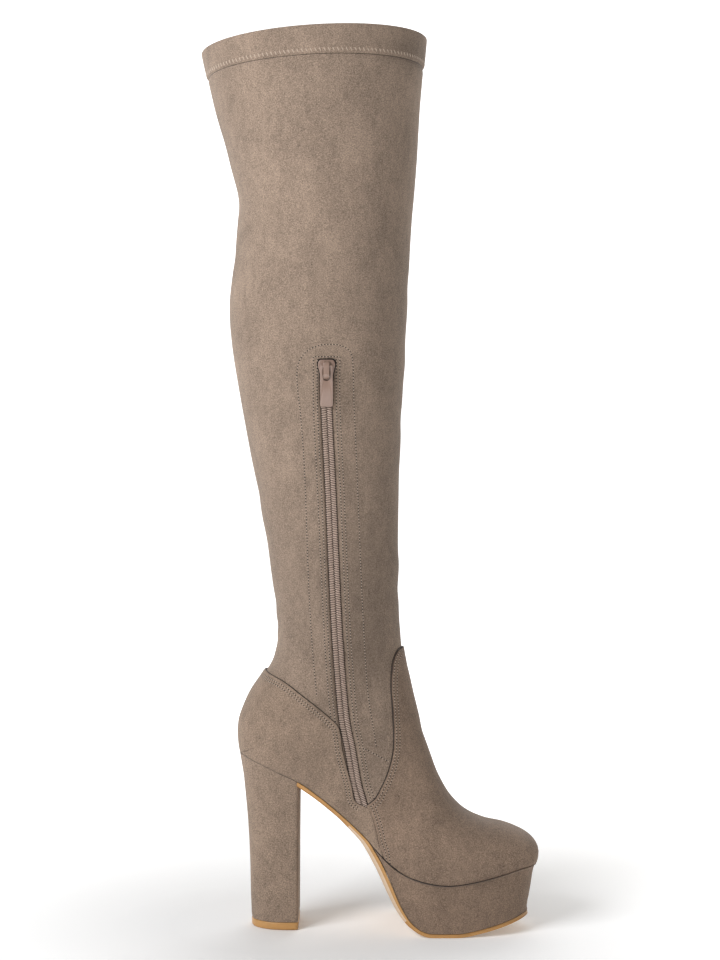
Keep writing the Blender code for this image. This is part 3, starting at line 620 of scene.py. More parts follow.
# %% Relief of the skin
CREASES = (
    # x and z of both ends, width, depth, side: -1 inner, 1 outer, 0 both
    (-0.004, 0.232, 0.028, 0.219, 0.005, 0.00075, 0),
    (-0.002, 0.219, 0.018, 0.207, 0.0045, 0.00065, 0),
    (-0.006, 0.25, 0.016, 0.24, 0.006, 0.0006, 0),
    (0.03, 0.262, 0.044, 0.214, 0.007, -0.0006, -1),
    (0.052, 0.205, 0.066, 0.172, 0.0055, 0.0005, -1),
    (0.058, 0.185, 0.08, 0.196, 0.006, -0.0005, -1),
    (0.078, 0.25, 0.097, 0.258, 0.006, 0.0006, 0),
    (0.07, 0.285, 0.096, 0.276, 0.008, -0.0006, 0),
    (-0.012, 0.33, 0.02, 0.318, 0.01, 0.0007, 0),
    (-0.024, 0.512, 0.02, 0.5, 0.0095, 0.0011, 0),
    (-0.022, 0.548, 0.03, 0.556, 0.011, -0.0008, 0),
    (-0.026, 0.48, 0.014, 0.47, 0.009, -0.0007, 0),
    (0.06, 0.478, 0.098, 0.49, 0.011, 0.0008, 0),
    (0.07, 0.44, 0.102, 0.43, 0.011, -0.0007, 0),
    (0.062, 0.4, 0.098, 0.388, 0.01, 0.0007, 0),
    (0.04, 0.6, 0.09, 0.625, 0.015, 0.0009, 0),
    (-0.03, 0.6, 0.01, 0.64, 0.014, 0.0008, 0),
    (0.092, 0.138, 0.116, 0.152, 0.007, 0.0005, 0),
    (0.102, 0.12, 0.128, 0.132, 0.008, -0.0004, 0),
    (0.01, 0.17, 0.03, 0.14, 0.012, 0.0006, 0),
    (0.022, 0.3, 0.06, 0.33, 0.012, 0.0007, 1),
    (0.03, 0.25, 0.058, 0.236, 0.007, 0.0008, 1),
    (0.034, 0.228, 0.06, 0.214, 0.006, 0.0007, 1),
)
HEM_GROOVE = 0.0011
ZIP_BULGE = 0.0006
FACING_HALF = 0.0125
FACING_ABOVE = 0.012


def crease_relief(points):
    """How far the creases push each point out: minus depth times e to minus (distance / width) squared."""
    out = np.zeros(points.shape[:-1])
    for x0, z0, x1, z1, width, depth, side in CREASES:
        way = np.array((x1 - x0, z1 - z0))
        aside = np.stack((points[..., 0] - x0, points[..., 2] - z0), axis=-1)
        share = np.clip((aside @ way) / (way @ way), 0, 1)
        distance = np.linalg.norm(aside - share[..., None] * way, axis=-1)
        bell = depth * np.exp(-(distance / width) ** 2)
        if side:
            bell = bell * np.clip(0.5 + side * points[..., 1] / 0.02, 0, 1)
        out -= bell
    return out


def hem_line(rows):
    """Distance of each row below the top of the collar, along the front."""
    return (COLLAR - rows) * COLLAR_ROW_HEIGHT


def hem_relief(rows):
    """The hem steps out at its lower edge, with a groove just below the step where the stitching pulls."""
    below = hem_line(rows)
    step = HEM_STEP / (1 + np.exp((below - HEM_WIDTH) / 0.0004))
    pull = HEM_GROOVE * np.exp(-((below - HEM_WIDTH - 0.0006) / 0.0010) ** 2)
    stitched = 0.4 * HEM_GROOVE * np.exp(-((below - HEM_WIDTH + 0.0028) / 0.0012) ** 2)
    return step - pull - stitched


def zip_relief(points):
    """The facing under the zip raises a soft band, about 12 mm to each side on the inner face."""
    beside = np.abs(beside_zip(points))
    foot = np.clip((points[..., 2] - ZIP_FOOT_Z) / 0.02, 0, 1)
    top = np.clip((ZIP_TOP_Z + FACING_ABOVE - points[..., 2]) / 0.006, 0, 1)
    edge = 1 / (1 + np.exp((beside - FACING_HALF) / 0.0012))
    return ZIP_BULGE * edge * (foot * top) * (points[..., 1] < 0)


def on_skin(rows, across, out):
    """Points on the creased skin, moved out by one distance, or by one for each row or point."""
    rows = np.asarray(rows, float)
    points = skin(rows, across)
    out = np.asarray(out, float)
    if out.ndim == 1:
        out = out[:, None]
    relief = crease_relief(points) + zip_relief(points) + hem_relief(rows)[:, None]
    return points + outward(rows, across) * (out + relief)[..., None]


print("creases placed:", len(CREASES))

# %% [markdown]
# ## From a grid to a closed piece
#
# A leather or cloth panel is a thin wall. It could be a flat sheet with a Solidify modifier, but that gives
# no control of the rounded edge. Here a panel is two grids, the outer face and the lining face, with the
# same layout. Faces are left out where there is a hole, and each edge that then belongs to one face only
# gets a small wall between the two grids. So the piece is closed, whatever its outline.

# %% Grids, walls and pieces
def grid_quads(count, wide):
    """Four corners of each cell of a grid, in the order that faces out of the skin."""
    at = np.arange(count * wide).reshape(count, wide)
    return np.stack((at[:-1, :-1], at[:-1, 1:], at[1:, 1:], at[1:, :-1]), axis=2).reshape(-1, 4)


def two_walls(outer, inner, keep=None, same=None):
    """Closed wall between two grids: points, faces, and which faces belong to outer 0, inner 1 and rim 2.

    keep says which cells stay, and same gives each point the number of the point that it is merged with.
    """
    count, wide = outer.shape[:2]
    quads = grid_quads(count, wide)
    if same is not None:
        quads = same.reshape(-1)[quads]
    if keep is not None:
        quads = quads[keep.reshape(-1)]
    size = count * wide
    starts, ends = quads.reshape(-1), np.roll(quads, -1, axis=1).reshape(-1)
    real = starts != ends
    starts, ends = starts[real], ends[real]
    _, where, uses = np.unique(
        np.minimum(starts, ends) * size + np.maximum(starts, ends), return_inverse=True, return_counts=True
    )
    single = uses[where.reshape(-1)] == 1
    a, b = starts[single], ends[single]
    rim = np.stack((b, a, a + size, b + size), axis=1)
    faces = np.concatenate((quads, quads[:, ::-1] + size, rim))
    kind = np.repeat((0, 1, 2), (len(quads), len(quads), len(rim)))
    return np.concatenate((outer.reshape(-1, 3), inner.reshape(-1, 3))), faces, kind


# Soft clouds, partly painted light and shade and partly the nap's own lie: x, z, half length and half height
# in metres, and the change of the colour there
SHADE_AND_NAP_CLOUDS = (
    (0.05, 0.282, 0.15, 0.125, -0.12), (0.071, 0.274, 0.02, 0.046, -0.15),
    (0.021, 0.263, 0.014, 0.038, -0.1), (0.074, 0.203, 0.015, 0.02, -0.17),
    (0.074, 0.134, 0.014, 0.022, -0.2), (0.038, 0.17, 0.012, 0.011, -0.15),
    (0.028, 0.411, 0.022, 0.024, -0.13), (0.103, 0.663, 0.024, 0.013, -0.3),
    (0.056, 0.664, 0.014, 0.01, -0.1), (-0.034, 0.626, 0.01, 0.046, -0.14),
    (0.192, 0.062, 0.026, 0.022, 0.13), (0.148, 0.047, 0.03, 0.014, -0.12),
    (0.092, 0.626, 0.014, 0.011, 0.12), (-0.01, 0.15, 0.018, 0.023, 0.03),
    (0.095, 0.452, 0.03, 0.19, -0.15), (0.06, 0.225, 0.03, 0.05, -0.1),
    (0.01, 0.118, 0.018, 0.014, -0.1),
)


def shade_and_nap_tone(points):
    """How light the suede is, from painted light and shade and the nap's own lie: 1 plus, for each cloud, its
    change times e to minus (offset / half) squared.
    """
    x, z = points[:, 0], points[:, 2]
    tone = np.ones(len(points))
    for cloud_x, cloud_z, long, high, change in SHADE_AND_NAP_CLOUDS:
        tone += change * np.exp(-((x - cloud_x) / long) ** 2 - ((z - cloud_z) / high) ** 2)
    return tone


def make_mesh(name, points, faces, kinds=None, materials=(), weld=1e-7):
    """A mesh from arrays: unused points dropped, meeting points welded, a material for each kind of face."""
    faces = np.asarray(faces)
    used, index = np.unique(faces, return_inverse=True)
    faces = index.reshape(faces.shape)
    points = np.asarray(points).reshape(-1, 3)[used]
    if weld:
        key = np.round(points / weld).astype(np.int64)
        _, first, back = np.unique(key, axis=0, return_index=True, return_inverse=True)
        points = points[first]
        faces = back.reshape(-1)[faces]
    kinds = np.zeros(len(faces), int) if kinds is None else np.asarray(kinds)
    doubled = faces == np.roll(faces, -1, axis=1)
    corners = (~doubled).sum(axis=1)
    keep = corners >= 3
    faces, doubled, corners, kinds = faces[keep], doubled[keep], corners[keep], kinds[keep]
    mesh = bpy.data.meshes.new(name)
    loops = faces[~doubled]
    mesh.vertices.add(len(points))
    mesh.vertices.foreach_set("co", points.astype(np.float32).ravel())
    mesh.loops.add(len(loops))
    mesh.loops.foreach_set("vertex_index", loops.astype(np.int32))
    mesh.polygons.add(len(faces))
    loop_start = np.concatenate(([0], np.cumsum(corners)[:-1]))
    mesh.polygons.foreach_set("loop_start", loop_start.astype(np.int32))
    for material in materials:
        mesh.materials.append(material)
    mesh.polygons.foreach_set("material_index", np.minimum(kinds, len(materials) - 1).astype(np.int32))
    mesh.polygons.foreach_set("use_smooth", np.ones(len(faces), bool))
    # The tone attribute holds painted light and shade in large clouds, with some of the nap's own lie.
    tone = mesh.attributes.new("tone", "FLOAT", "POINT")
    tone.data.foreach_set("value", shade_and_nap_tone(points).astype(np.float32))
    mesh.update(calc_edges=True)
    mesh.validate()
    return mesh


def add_piece(name, mesh, replaces=(), body="boot", sharp=None):
    """Puts the mesh into the scene as a named piece that rides on a body of the solids."""
    piece = bpy.data.objects.new(name, mesh)
    bpy.context.scene.collection.objects.link(piece)
    if sharp:
        mesh.set_sharp_from_angle(angle=math.radians(sharp))
    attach(piece, body)
    if replaces:
        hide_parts(*replaces)
    triangles = sum(len(face.vertices) - 2 for face in mesh.polygons)
    print(name, "triangles:", triangles)


# %% [markdown]
# ## Imitation suede
#
# Suede has no gloss, only nap: very short fibres that lie this way and that, so the same colour reads
# lighter or darker in soft clouds, with a fine salt and pepper speckle. A flat brown would look like
# plastic. One node group works this out for every suede piece: clouds of a few centimetres, brushed strokes
# of a few millimetres and a speckle under a millimetre change the colour, and the speckle also gives the
# height for the bump. Sheen on the shader adds the pale bloom where the surface turns away. The largest
# clouds are a tone that each mesh carries as an attribute: partly painted light and shade on the leg and
# partly the nap's own lie.

# %% Node helpers and the suede group
def new_group(name, inputs, outputs):
    """An empty shader node group with these named sockets, each a name, a type and a first value."""
    group = bpy.data.node_groups.new(name, "ShaderNodeTree")
    for direction, sockets in (("INPUT", inputs), ("OUTPUT", outputs)):
        for label, kind, *value in sockets:
            socket = group.interface.new_socket(name=label, in_out=direction, socket_type="NodeSocket" + kind)
            if value:
                socket.default_value = value[0]
    return group, group.nodes.new("NodeGroupInput"), group.nodes.new("NodeGroupOutput")


def add_math(group, operation, first, second, third=None, clamp=False):
    """A Math node whose inputs are sockets or numbers. Gives its output."""
    node = group.nodes.new("ShaderNodeMath")
    node.operation = operation
    node.use_clamp = clamp
    for slot, value in zip(node.inputs, (first, second, third)):
        if isinstance(value, (int, float)):
            slot.default_value = value
        elif value is not None:
            group.links.new(value, slot)
    return node.outputs[0]


def add_noise(group, vector, scale, detail=2.0, rough=0.5, stretch=None):
    """Noise with features of about 1 / scale metres, stretched by a Mapping node where asked."""
    if stretch:
        mapping = group.nodes.new("ShaderNodeMapping")
        mapping.inputs["Scale"].default_value = stretch
        group.links.new(vector, mapping.inputs["Vector"])
        vector = mapping.outputs["Vector"]
    noise = group.nodes.new("ShaderNodeTexNoise")
    noise.inputs["Scale"].default_value = scale
    noise.inputs["Detail"].default_value = detail
    noise.inputs["Roughness"].default_value = rough
    group.links.new(vector, noise.inputs["Vector"])
    return noise.outputs["Fac"]


def add_scaled(group, colour, value):
    """The colour times a value."""
    node = group.nodes.new("ShaderNodeVectorMath")
    node.operation = "SCALE"
    group.links.new(colour, node.inputs[0])
    group.links.new(value, node.inputs["Scale"])
    return node.outputs[0]


def object_place(group):
    """The point's place in the piece's own space, in metres."""
    return group.nodes.new("ShaderNodeTexCoord").outputs["Object"]


def varied_colour(tree, shader, colour, value):
    """Sets the base colour to one colour times a value that noise changes from place to place."""
    base = tree.nodes.new("ShaderNodeRGB")
    base.outputs[0].default_value = colour
    tree.links.new(add_scaled(tree, base.outputs[0], value), shader.inputs["Base Color"])


def varied_roughness(tree, shader, noise, swing, low):
    """Sets the roughness to low plus swing times the noise."""
    tree.links.new(add_math(tree, "MULTIPLY_ADD", noise, swing, low), shader.inputs["Roughness"])


def make_suede_group():
    group, given, result = new_group(
        "suede_nap",
        [("Color", "Color", (0.3, 0.25, 0.2, 1)), ("Clouds", "Float", 0.22), ("Strokes", "Float", 0.18),
         ("Speckle", "Float", 0.5)],
        [("Color", "Color"), ("Roughness", "Float"), ("Height", "Float")],
    )
    place = object_place(group)
    clouds = add_noise(group, place, 46, 4.0, 0.58, (1.0, 1.0, 0.6))
    strokes = add_noise(group, place, 210, 3.0, 0.6, (1.0, 1.0, 0.55))
    speckle = add_noise(group, place, 1250, 3.0, 0.8)
    fibres = add_noise(group, place, 2900, 1.0, 0.5, (1.0, 1.0, 0.5))
    value = 1.0
    for source, amount in ((clouds, "Clouds"), (strokes, "Strokes"), (speckle, "Speckle")):
        centred = add_math(group, "SUBTRACT", source, 0.5)
        swing = add_math(group, "MULTIPLY", centred, given.outputs[amount])
        value = add_math(group, "MULTIPLY_ADD", swing, 2.0, value)
    group.links.new(add_scaled(group, given.outputs["Color"], value), result.inputs["Color"])
    rough = add_math(group, "MULTIPLY_ADD", speckle, 0.16, 0.82)
    group.links.new(rough, result.inputs["Roughness"])
    height = add_math(group, "MULTIPLY_ADD", fibres, 0.35, add_math(group, "MULTIPLY", speckle, 0.65))
    height = add_math(group, "MULTIPLY_ADD", strokes, 0.8, height)
    group.links.new(height, result.inputs["Height"])
    return group


SUEDE_NAP = make_suede_group()


def linear(red, green, blue):
    """A colour given as 0 to 255 on a screen, as the linear values that a shader wants."""
    share = np.array((red, green, blue)) / 255
    return (*np.where(share <= 0.04045, share / 12.92, ((share + 0.055) / 1.055) ** 2.4).tolist(), 1)


def new_material(name, roughness=0.5, metallic=0.0, **sockets):
    material = bpy.data.materials.new(name)
    material.use_nodes = True
    shader = material.node_tree.nodes["Principled BSDF"]
    shader.inputs["Roughness"].default_value = roughness
    shader.inputs["Metallic"].default_value = metallic
    for label, value in sockets.items():
        shader.inputs[label.replace("_", " ")].default_value = value
    return material, material.node_tree, shader


def add_bump(tree, shader, height, distance, strength=1.0):
    bump = tree.nodes.new("ShaderNodeBump")
    bump.inputs["Distance"].default_value = distance
    bump.inputs["Strength"].default_value = strength
    tree.links.new(height, bump.inputs["Height"])
    tree.links.new(bump.outputs["Normal"], shader.inputs["Normal"])


def suede_material(name, colour, clouds=0.34, strokes=0.26, speckle=1.5, bump=0.00030, sheen=0.16):
    """A suede of this colour: the nap group's clouds, strokes and speckle, times the mesh's own tone of
    painted light and shade.
    """
    material, tree, shader = new_material(
        name, Sheen_Weight=sheen, Sheen_Roughness=0.55, Sheen_Tint=(1.0, 0.93, 0.86, 1),
        Specular_IOR_Level=0.18,
    )
    nap = tree.nodes.new("ShaderNodeGroup")
    nap.node_tree = SUEDE_NAP
    for label, value in (("Color", colour), ("Clouds", clouds), ("Strokes", strokes), ("Speckle", speckle)):
        nap.inputs[label].default_value = value
    # The mesh's tone lightens and darkens the colour: painted light and shade.
    tone = tree.nodes.new("ShaderNodeAttribute")
    tone.attribute_name = "tone"
    tree.links.new(add_scaled(tree, nap.outputs["Color"], tone.outputs["Fac"]), shader.inputs["Base Color"])
    tree.links.new(nap.outputs["Roughness"], shader.inputs["Roughness"])
    add_bump(tree, shader, nap.outputs["Height"], bump)
    return material


def woven_material(name, colour, pitch, bump=0.00012, contrast=0.25):
    """Cloth: two crossed sets of fine waves, the one over the other, with noise for uneven yarn."""
    material, tree, shader = new_material(name, 0.85, Sheen_Weight=0.15, Specular_IOR_Level=0.2)
    place = object_place(tree)
    heights = []
    for turn in (math.pi / 4, -math.pi / 4):
        mapping = tree.nodes.new("ShaderNodeMapping")
        mapping.inputs["Rotation"].default_value = (0, turn, 0.3)
        tree.links.new(place, mapping.inputs["Vector"])
        wave = tree.nodes.new("ShaderNodeTexWave")
        wave.inputs["Scale"].default_value = 0.314 / pitch
        wave.inputs["Distortion"].default_value = 0.6
        tree.links.new(mapping.outputs["Vector"], wave.inputs["Vector"])
        heights.append(wave.outputs["Fac"])
    weave = add_math(tree, "MULTIPLY", heights[0], heights[1])
    noise = add_noise(tree, place, 900, 2.0)
    value = add_math(tree, "MULTIPLY_ADD", weave, contrast, 1 - contrast / 2)
    value = add_math(tree, "MULTIPLY_ADD", add_math(tree, "SUBTRACT", noise, 0.5), contrast, value)
    varied_colour(tree, shader, colour, value)
    add_bump(tree, shader, weave, bump)
    return material


SHAFT_SUEDE = suede_material("shaft_suede", linear(139, 121, 106))
VAMP_SUEDE = suede_material("vamp_suede", linear(132, 112, 96))
COUNTER_SUEDE = suede_material("counter_suede", linear(137, 118, 102))
PLATFORM_SUEDE = suede_material("platform_suede", linear(129, 109, 93))
HEEL_SUEDE = suede_material("heel_suede", linear(140, 121, 105))
CUT_EDGE = suede_material("cut_edge", linear(66, 53, 45), speckle=0.3)
LINING = woven_material("lining_knit", linear(176, 158, 140), 0.0009)
print("suede materials made")

# %% [markdown]
# ## The shaft and foot of the upper
#
# The real upper is cut flat, stitched into a tube and pulled over the last, so one skin goes from the toe
# to the collar. The grid of this piece bends so that two of its lines run along the two lips of the zip:
# the slot between them can then be left open without cutting. The top edge is folded to a hem, and its rim
# is rounded over. The inside has a knitted backing, as stretch suede has.

# %% Upper
SKIN_STEP = 0.00295
SLOT_COLUMNS = 4
BEHIND_SLOT = 41
BEFORE_SLOT = 37
OUTER_COLUMNS = 80
LIP_ROLL = 0.0005
LIP_LEAN = 0.0003
SLOT_END = 0.004
SLOT_FOOT_Z = ZIP_FOOT_Z - 0.0100
SLOT_FIRST_ROW = 11.7
EASE_ROW = 7.5
EASED_COLUMNS = (-0.55, -0.50)
HEM_ROWS = (-0.0012, 0.0, 0.0006, 0.0014)
RIM_TURNS = (30, 60, 85)


def zip_height(rows):
    """Height on the zip's middle line where each row crosses it."""
    across = zip_across(rows, 0.0)
    return skin(rows, across[:, None])[:, 0, 2]


def slot_half(heights):
    """Half the slot's width: even, but closing on a quarter ellipse within SLOT_END of both ends."""
    near = np.minimum(heights - SLOT_FOOT_Z, ZIP_TOP_Z - heights) / SLOT_END
    return (ZIP_SLOT / 2 - LIP_LEAN) * np.sqrt(np.clip(1 - (1 - np.clip(near, 0.02, 1)) ** 2, 0, 1))


def upper_rows():
    """Rows of even spacing, with some more at the hem's step and at the slot's two ends."""
    rows = row_steps(0, COLLAR, SKIN_STEP)
    hem = below_collar(HEM_WIDTH + np.array(HEM_ROWS))
    heights = zip_height(rows)
    valid = rows > SLOT_FIRST_ROW
    marks = (SLOT_FOOT_Z + 0.0004, SLOT_FOOT_Z + 0.002, ZIP_TOP_Z - 0.002, ZIP_TOP_Z - 0.0004)
    ends = np.interp(marks, heights[valid], rows[valid])
    rows = rows[np.all(np.abs(rows[:, None] - np.concatenate((hem, ends))[None]) > 0.02, axis=1)]
    return np.sort(np.concatenate((rows, hem, ends)))


def even_steps(low, high, count):
    """This many even steps from low to high for each row, without high itself."""
    return low[:, None] + (high - low)[:, None] * np.arange(count) / count


def slot_columns(rows):
    """Across values of the grid: even behind, in and before the slot, easing to even steps below the zip."""
    heights = zip_height(rows)
    half = slot_half(heights)
    behind, before = zip_across(rows, -half), zip_across(rows, half)
    share = ramp(rows, EASE_ROW, SLOT_FIRST_ROW)
    share = share * share * (3 - 2 * share)
    start = np.searchsorted(rows, SLOT_FIRST_ROW)
    behind, before = (
        np.where(rows < SLOT_FIRST_ROW, lip[start], lip) * share + rest * (1 - share)
        for lip, rest in zip((behind, before), EASED_COLUMNS)
    )
    ones = np.ones(len(rows))
    return np.hstack((
        even_steps(-ones, behind, BEHIND_SLOT), even_steps(behind, before, SLOT_COLUMNS),
        even_steps(before, 0 * ones, BEFORE_SLOT), even_steps(0 * ones, ones, OUTER_COLUMNS), ones[:, None],
    )), heights


def back_merged(rows, wide):
    """Numbers that merge the last column with the first above the heel seat, and the toe's tip to a point."""
    same = np.arange(len(rows) * wide).reshape(len(rows), wide)
    closed = rows >= SEAT_BACK - 1e-6
    same[closed, -1] = same[closed, 0]
    same[rows < 1e-6] = same[0, 0]
    return same


def rounded_rim(outer, inner):
    """A few more rings that carry both walls over the collar's top in a half circle."""
    middle, half = (outer + inner) / 2, (outer - inner) / 2
    up = np.array((0, 0, 1.0)) * np.linalg.norm(half, axis=1)[:, None] * 0.8
    turns = np.radians(RIM_TURNS)
    return [
        np.stack([middle + sign * half * math.cos(turn) + up * math.sin(turn) for turn in turns])
        for sign in (1, -1)
    ]


def make_upper():
    rows = upper_rows()
    across, heights = slot_columns(rows)
    wide = across.shape[1]
    slot = np.zeros((len(rows) - 1, wide - 1), bool)
    in_zip = (heights > SLOT_FOOT_Z) & (heights < ZIP_TOP_Z) & (rows > SLOT_FIRST_ROW)
    slot[:, BEHIND_SLOT:BEHIND_SLOT + SLOT_COLUMNS] = (in_zip[:-1] & in_zip[1:])[:, None]
    lips = np.zeros((len(rows), wide))
    lips[in_zip, BEHIND_SLOT] = lips[in_zip, BEHIND_SLOT + SLOT_COLUMNS] = LIP_ROLL
    outer = on_skin(rows, across, -lips)
    inner = on_skin(rows, across, -WALL)
    rim_out, rim_in = rounded_rim(outer[-1], inner[-1])
    outer = np.concatenate((outer, rim_out))
    inner = np.concatenate((inner, rim_in))
    rows = np.concatenate((rows, [COLLAR] * len(rim_out)))
    keep = np.vstack((~slot, np.ones((len(rim_out), wide - 1), bool)))
    points, faces, kinds = two_walls(outer, inner, keep, back_merged(rows, wide))
    kinds = np.where(kinds == 1, 1, 0)
    mesh = make_mesh("upper_suede", points, faces, kinds, (SHAFT_SUEDE, LINING))
    add_piece("upper_suede", mesh, ["upper"])


make_upper()

# %% [markdown]
# ## Vamp and heel counter
#
# Two stiffer panels are laid over the foot and stitched down: the vamp from the toe up to a rounded tongue
# at the front of the ankle, and the counter round the heel. They could be cut from a copy of the upper with
# a Boolean, which leaves ragged edges. Instead each row of the skin is only drawn as far as it stays within
# the panel's outline, so the last point of every row lies on the edge. Near the edge the outer face falls
# away in a quarter ellipse, as a skived and turned edge does.

# %% Outlines of the panels
PANEL_STEP = 0.0021
EDGE_ROUND = 0.0013
EDGE_COLUMNS = (0.0, 0.00018, 0.00045, 0.0008, 0.0013, 0.0021)
PANEL_SINK = -0.0002


def vamp_outline():
    """The vamp on the side view: seam line, back edge and tongue, then round the toe."""
    edge = side_line(SEAM_EDGE[::-1] + VAMP_EDGE) + (GAP / 2, 0)
    beyond_toe = HEEL_BACK_X + 1.2 * FOOT_LENGTH
    return np.vstack((edge, [(beyond_toe, edge[-1, 1]), (beyond_toe, edge[0, 1])]))


def counter_outline():
    """The counter on the side view: its top and front edge, the seam line, then back below the floor."""
    edge = side_line(COUNTER_LINE)
    return np.vstack((edge, [(HEEL_BACK_X - 0.15 * FOOT_LENGTH, HEEL_HEIGHT - 1.9 * INSTEP_HEIGHT)]))


def edge_distance(points, edge):
    """Distance on the side view from each point to the panel's drawn edge, to the nearest of its points."""
    flat = points[..., ::2].reshape(-1, 2)
    nearest = np.empty(len(flat))
    for part in np.array_split(np.arange(len(flat)), max(len(flat) // 4000, 1)):
        nearest[part] = np.sqrt(((flat[part, None] - edge[None]) ** 2).sum(axis=2).min(axis=1))
    return nearest.reshape(points.shape[:-1])


def edge_spread(start, end, count, lengths):
    """Across values from start to end for each row, crowded within 2 mm of end to round the edge there."""
    width = np.maximum(lengths, 1e-5)[:, None]
    near = np.clip(1 - np.array(EDGE_COLUMNS)[::-1][None] / width, 0.35, 1)
    far = near[:, :1] * np.linspace(0, 1, count)[None, :-1]
    share = np.hstack((far, near))
    return start[:, None] + (end - start)[:, None] * share


def panel_walls(rows, across, edge):
    """The two grids of a panel, the outer one falling to the inner at the drawn edge."""
    low = on_skin(rows, across, PANEL_SINK)
    depth = np.clip(1 - edge_distance(low, edge) / EDGE_ROUND, 0, 1)
    thick = OVERLAY * (0.25 + 0.75 * np.sqrt(1 - depth ** 2))
    return on_skin(rows, across, OVERLAY_GAP + thick), low


def chord(rows, start, end):
    """Length along the skin from start to end across, for each row."""
    share = np.linspace(0, 1, 25)
    line = skin(rows, start[:, None] + (end - start)[:, None] * share)
    return np.linalg.norm(np.diff(line, axis=1), axis=2).sum(axis=1)


def two_edge_spread(start, end, count, lengths):
    """Across values from start to end for each row, crowded within 2 mm of both."""
    near = np.array(EDGE_COLUMNS)[None] / np.maximum(lengths, 1e-5)[:, None]
    near = np.clip(near, 0, 0.45 * np.linspace(0, 1, len(EDGE_COLUMNS))[None] + 1e-4)
    low, high = near[:, -1:], 1 - near[:, -1:]
    middle = low + (high - low) * np.linspace(0, 1, count + 2)[None, 1:-1]
    share = np.hstack((near, middle, 1 - near[:, ::-1]))
    return start[:, None] + (end - start)[:, None] * share


# %% Vamp
FRONT_COLUMNS = 36
TAIL_COLUMNS = 12
HOLLOW_ROWS = (9, 20)
TONGUE_ROW = 21.5
TONGUE_STEPS = 26


def vamp_rows(outline, top):
    """Even rows, with more where the tongue ends and where the tail behind the hollow begins and ends."""
    fine = np.linspace(*HOLLOW_ROWS, 1200)
    marks = []
    for side in (-1, 1):
        parted = fine[stretches(fine, outline, side)[3]]
        marks.extend((parted[0], parted[0] + 0.03, parted[0] + 0.1, parted[-1], parted[-1] - 0.04))
    rows = row_steps(0, TONGUE_ROW, PANEL_STEP, 0.0)
    rows = rows[np.abs(rows[:, None] - np.array(marks)).min(axis=1) > 0.012]
    tongue = np.linspace(TONGUE_ROW, top - 0.02, TONGUE_STEPS)[1:]
    return np.sort(np.concatenate((rows, marks, tongue)))


def vamp_half(rows, outline, side):
    """Across values of one side from the front back, and which cells stay: none lie across the hollow."""
    first, start, end, parted = stretches(rows, outline, side)
    number = np.arange(len(rows))
    low, high = np.flatnonzero(parted)[[0, -1]]
    below, above = number < low, number > high
    touch = (first[low] + start[low]) / 2
    stop = np.where(below, np.minimum(touch, 0.9 * first), first)
    start = np.where(below, stop, np.where(above, first, start))
    end = np.where(below | above, first, end)
    zero = np.zeros(len(rows))
    front = edge_spread(zero, side * stop, FRONT_COLUMNS, chord(rows, zero, side * stop))
    tail = two_edge_spread(side * start, side * end, TAIL_COLUMNS, chord(rows, side * start, side * end))
    across = np.hstack((front, tail))
    wide = front.shape[1]
    keep = np.ones((len(rows) - 1, across.shape[1] - 1), bool)
    keep[:, wide - 1] = False
    keep[number[1:] > high, wide:] = False
    same = np.tile(np.arange(across.shape[1]), (len(rows), 1))
    same[below, wide] = wide - 1
    return across, keep, same


def make_vamp():
    outline = vamp_outline()
    top = last_within(outline, 0.0, 20, 27)
    rows = vamp_rows(outline, top)
    inner, inner_keep, inner_same = vamp_half(rows, outline, -1)
    outer, outer_keep, outer_same = vamp_half(rows, outline, 1)
    across = np.hstack((inner[:, ::-1], outer[:, 1:]))
    keep = np.hstack((inner_keep[:, ::-1], outer_keep))
    last = inner.shape[1] - 1
    columns = np.hstack((last - inner_same[:, ::-1], last + outer_same[:, 1:]))
    drawn = resampled(outline[:-1], 0.0012)
    high, low = panel_walls(rows, across, drawn)
    same = np.arange(len(rows))[:, None] * across.shape[1] + columns
    same[rows < 1e-6] = same[0, 0]
    points, faces, kinds = two_walls(high, low, keep, same)
    mesh = make_mesh("vamp_panel", points, faces, np.where(kinds == 2, 1, 0), (VAMP_SUEDE, CUT_EDGE))
    add_piece("vamp_panel", mesh, ["vamp"])


make_vamp()

# %% Heel counter
COUNTER_COLUMNS = 44
COUNTER_SEARCH_ROW = 8.0
COUNTER_BESIDE = -0.9


def make_counter():
    outline = counter_outline()
    top = last_within(outline, -1.0, 24, 30)
    foremost = last_within(outline, -1.0, SEAT_FRONT, COUNTER_SEARCH_ROW)
    seat = row_steps(foremost, SEAT_BACK, PANEL_STEP, COUNTER_BESIDE)
    ankle = row_steps(SEAT_BACK, top - 0.01, PANEL_STEP, COUNTER_BESIDE)[1:]
    rows = np.concatenate((seat, ankle))
    halves = []
    for side in (-1, 1):
        start = np.full(len(rows), float(side))
        end = side * (1 - reach(rows, outline, side))
        halves.append(edge_spread(start, end, COUNTER_COLUMNS, chord(rows, start, end)))
    drawn = side_line(COUNTER_LINE)
    walls = [panel_walls(rows, half, drawn) for half in (halves[0], halves[1][:, ::-1])]
    wide = halves[0].shape[1]
    high = np.concatenate([wall[0] for wall in walls], axis=1)
    low = np.concatenate([wall[1] for wall in walls], axis=1)
    keep = np.ones((len(rows) - 1, 2 * wide - 1), bool)
    keep[:, wide - 1] = False
    same = np.arange(len(rows) * 2 * wide).reshape(len(rows), -1)
    closed = rows >= SEAT_BACK - 1e-6
    same[closed, -1] = same[closed, 0]
    points, faces, kinds = two_walls(high, low, keep, same)
    mesh = make_mesh("counter_panel", points, faces, np.where(kinds == 2, 1, 0), (COUNTER_SUEDE, CUT_EDGE))
    add_piece("counter_panel", mesh, ["counter"])


make_counter()

